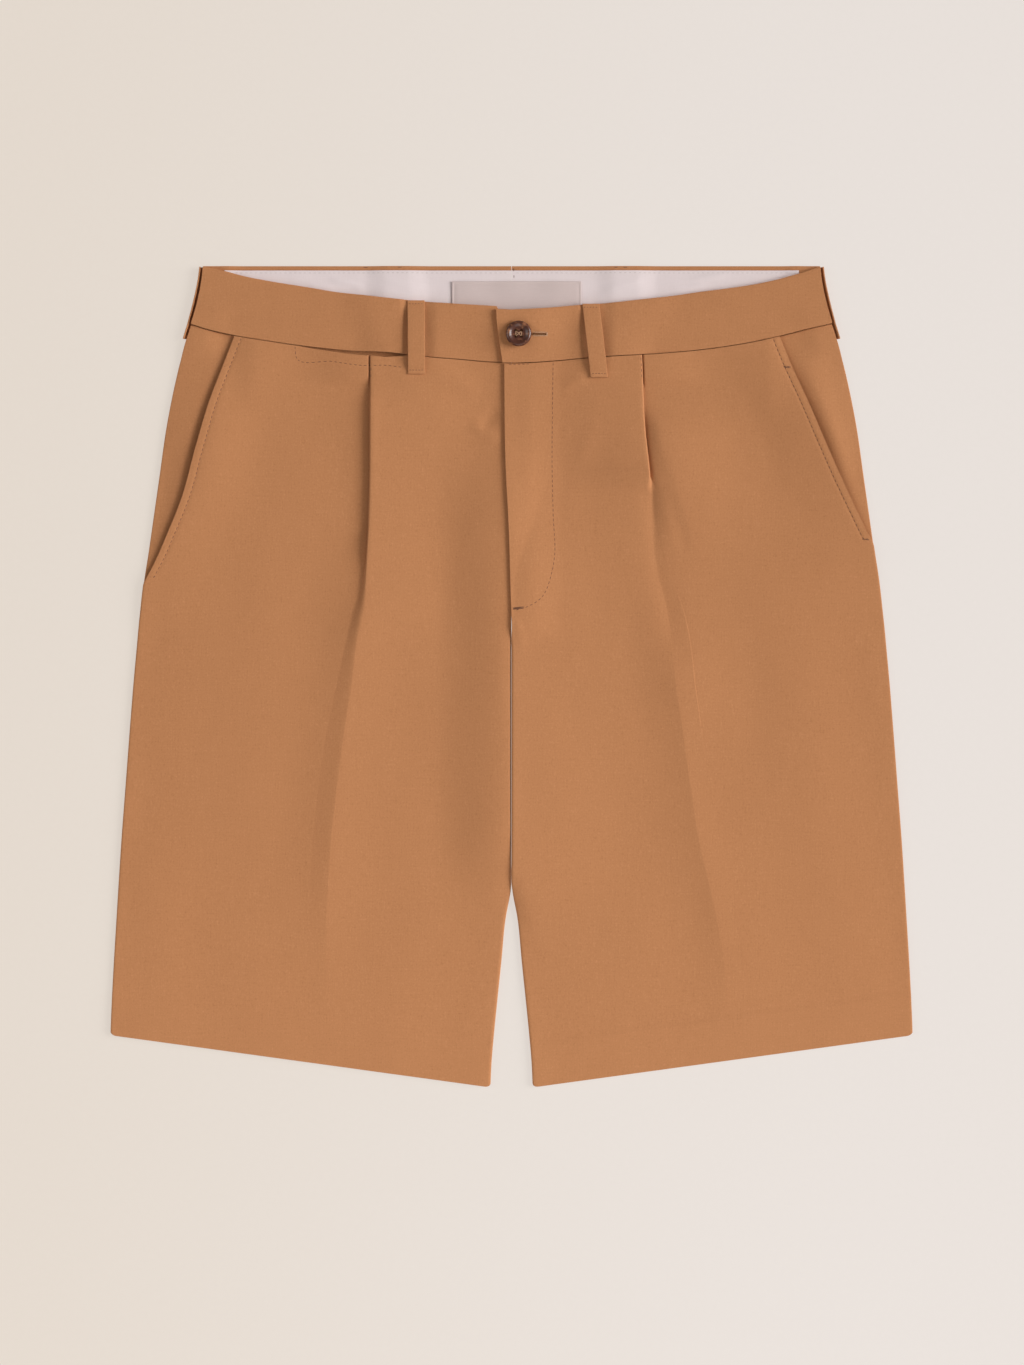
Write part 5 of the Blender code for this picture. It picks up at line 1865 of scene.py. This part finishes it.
@dataclass
class Studio:
    """The pale floor, the soft light from the right and the camera straight above."""

    floor_size: float = 8.0
    camera_at: tuple[float, float, float] = (0.0003, -0.0043, 2.1925)
    lens: float = 85.0
    # Each soft light: its name, the way it comes from, its height, its breadth (all in degrees) and strength.
    windows: tuple[tuple[str, float, float, float, float], ...] = (
        ("window_right", 4.0, 26.0, 36.0, 3.6),
        ("window_left", 176.0, 34.0, 40.0, 0.72),
    )
    panel_at: tuple[float, float, float] = (0.1, -0.95, 0.9)
    panel_size: float = 0.9
    panel_power: float = 4.2
    sky_strength: float = 0.15
    sky: tuple[float, float, float] = (1.0, 0.97, 0.94)

    def aim(self, name: str, light: bpy.types.Light, towards: Vector) -> bpy.types.Object:
        """Sets up a light that shines from that direction at the garment."""
        lamp = bpy.data.objects.new(name, light)
        lamp.rotation_mode = "QUATERNION"
        lamp.rotation_quaternion = towards.to_track_quat("Z", "Y")
        lamp.visible_camera = False
        bpy.context.scene.collection.objects.link(lamp)
        return lamp

    def build(self) -> None:
        """Builds floor, lights and camera."""
        bpy.ops.object.select_all(action="DESELECT")
        bpy.ops.mesh.primitive_plane_add(size=self.floor_size, location=(0.0, 0.0, -0.0002))
        floor = bpy.context.object
        floor.name = "floor"
        bpy.ops.object.transform_apply(location=True, rotation=False, scale=False)
        floor.data.materials.append(Paper().make())
        for name, azimuth, elevation, breadth, strength in self.windows:
            light = bpy.data.lights.new(name, "SUN")
            light.energy = strength
            light.angle = math.radians(breadth)
            away, up = math.radians(azimuth), math.radians(elevation)
            towards = Vector((math.cos(away) * math.cos(up), math.sin(away) * math.cos(up), math.sin(up)))
            self.aim(name, light, towards)
        light = bpy.data.lights.new("panel", "AREA")
        light.energy, light.size = self.panel_power, self.panel_size
        self.aim("panel", light, Vector(self.panel_at)).location = self.panel_at
        world = bpy.data.worlds.new("studio")
        world.use_nodes = True
        world.node_tree.nodes["Background"].inputs["Color"].default_value = (*self.sky, 1.0)
        world.node_tree.nodes["Background"].inputs["Strength"].default_value = self.sky_strength
        bpy.context.scene.world = world
        lens = bpy.data.cameras.new("camera")
        lens.lens = self.lens
        lens.sensor_width = 36.0
        lens.clip_end = 50.0
        camera = bpy.data.objects.new("camera", lens)
        camera.location = self.camera_at
        bpy.context.scene.collection.objects.link(camera)
        bpy.context.scene.camera = camera
        bpy.context.scene.view_settings.view_transform = "Standard"
        bpy.context.scene.view_settings.look = "None"


FRONT_FOLDS = {
    Side.RIGHT: (
        Fold((-8.0, 462.0), (-22.0, 446.0), -0.8, 4.0),
        Fold((-6.0, 438.0), (-30.0, 452.0), 0.7, 5.0),
        Fold((-60.0, 488.0), (-20.0, 470.0), 0.6, 6.0, 2.0),
    ),
    Side.LEFT: (
        Fold((2.0, 322.0), (9.0, 294.0), 0.5, 2.2),
        Fold((32.0, 474.0), (52.0, 484.0), 0.5, 3.0),
        Fold((34.0, 466.0), (76.0, 474.0), -0.35, 4.5, 2.0),
        Fold((44.0, 420.0), (60.0, 460.0), 0.3, 6.0),
        Fold((93.0, 452.0), (122.0, 350.0), -0.6, 4.6),
    ),
}
LINING_FOLDS = {
    Side.RIGHT: (
        Fold((-140.0, 546.0), (-118.0, 541.0), 0.5, 1.6),
        Fold((-126.0, 550.0), (-98.0, 543.0), 0.45, 2.2),
        Fold((-92.0, 549.0), (-52.0, 541.0), 0.35, 2.5),
    ),
    Side.LEFT: (
        Fold((106.0, 541.0), (134.0, 545.5), 0.55, 1.7),
        Fold((118.0, 549.0), (150.0, 552.0), 0.4, 1.8),
        Fold((60.0, 541.0), (92.0, 549.0), 0.35, 2.6),
    ),
}


def main() -> None:
    """Builds the pieces in order, then the studio."""
    logging.basicConfig(level=logging.INFO, format="%(name)s: %(message)s")
    cut = Cut()
    finishes = Wardrobe()
    right = Front(cut, Side.RIGHT, hollow_rise=0.0, seam_shift=0.7, folds=FRONT_FOLDS[Side.RIGHT])
    left = Front(cut, Side.LEFT, hollow_rise=3.2, pleat_lift=0.3, pleat_roll=1.5, pleat_spread=1.0,
                 seam_shift=-0.45, crest=(2.0, 10.0, 350.0, 34.0, 60.0), folds=FRONT_FOLDS[Side.LEFT])
    fronts = {front.side: front.build(finishes) for front in (right, left)}
    for side in Side:
        Back(cut, side).build(finishes)
        Facing(cut, side, bulge=1.4 if side is Side.RIGHT else 3.0).build(finishes)
    CoinFacing(cut).build(finishes)
    inside = []
    for side in Side:
        inside += BackBand(cut, side, folds=LINING_FOLDS[side]).build(finishes)
    inside.append(Label(cut).build(finishes))
    bands = {side: FrontBand(cut, side).build(finishes) for side in Side}
    shell = Ground(list(fronts.values()) + list(bands.values()))
    loops = BeltLoops(cut).build(shell, finishes)
    Button(cut).build(finishes)
    Sewing(cut).build(shell, Ground(inside), Ground(loops), finishes)
    Studio().build()


if __name__ == "__main__":
    main()
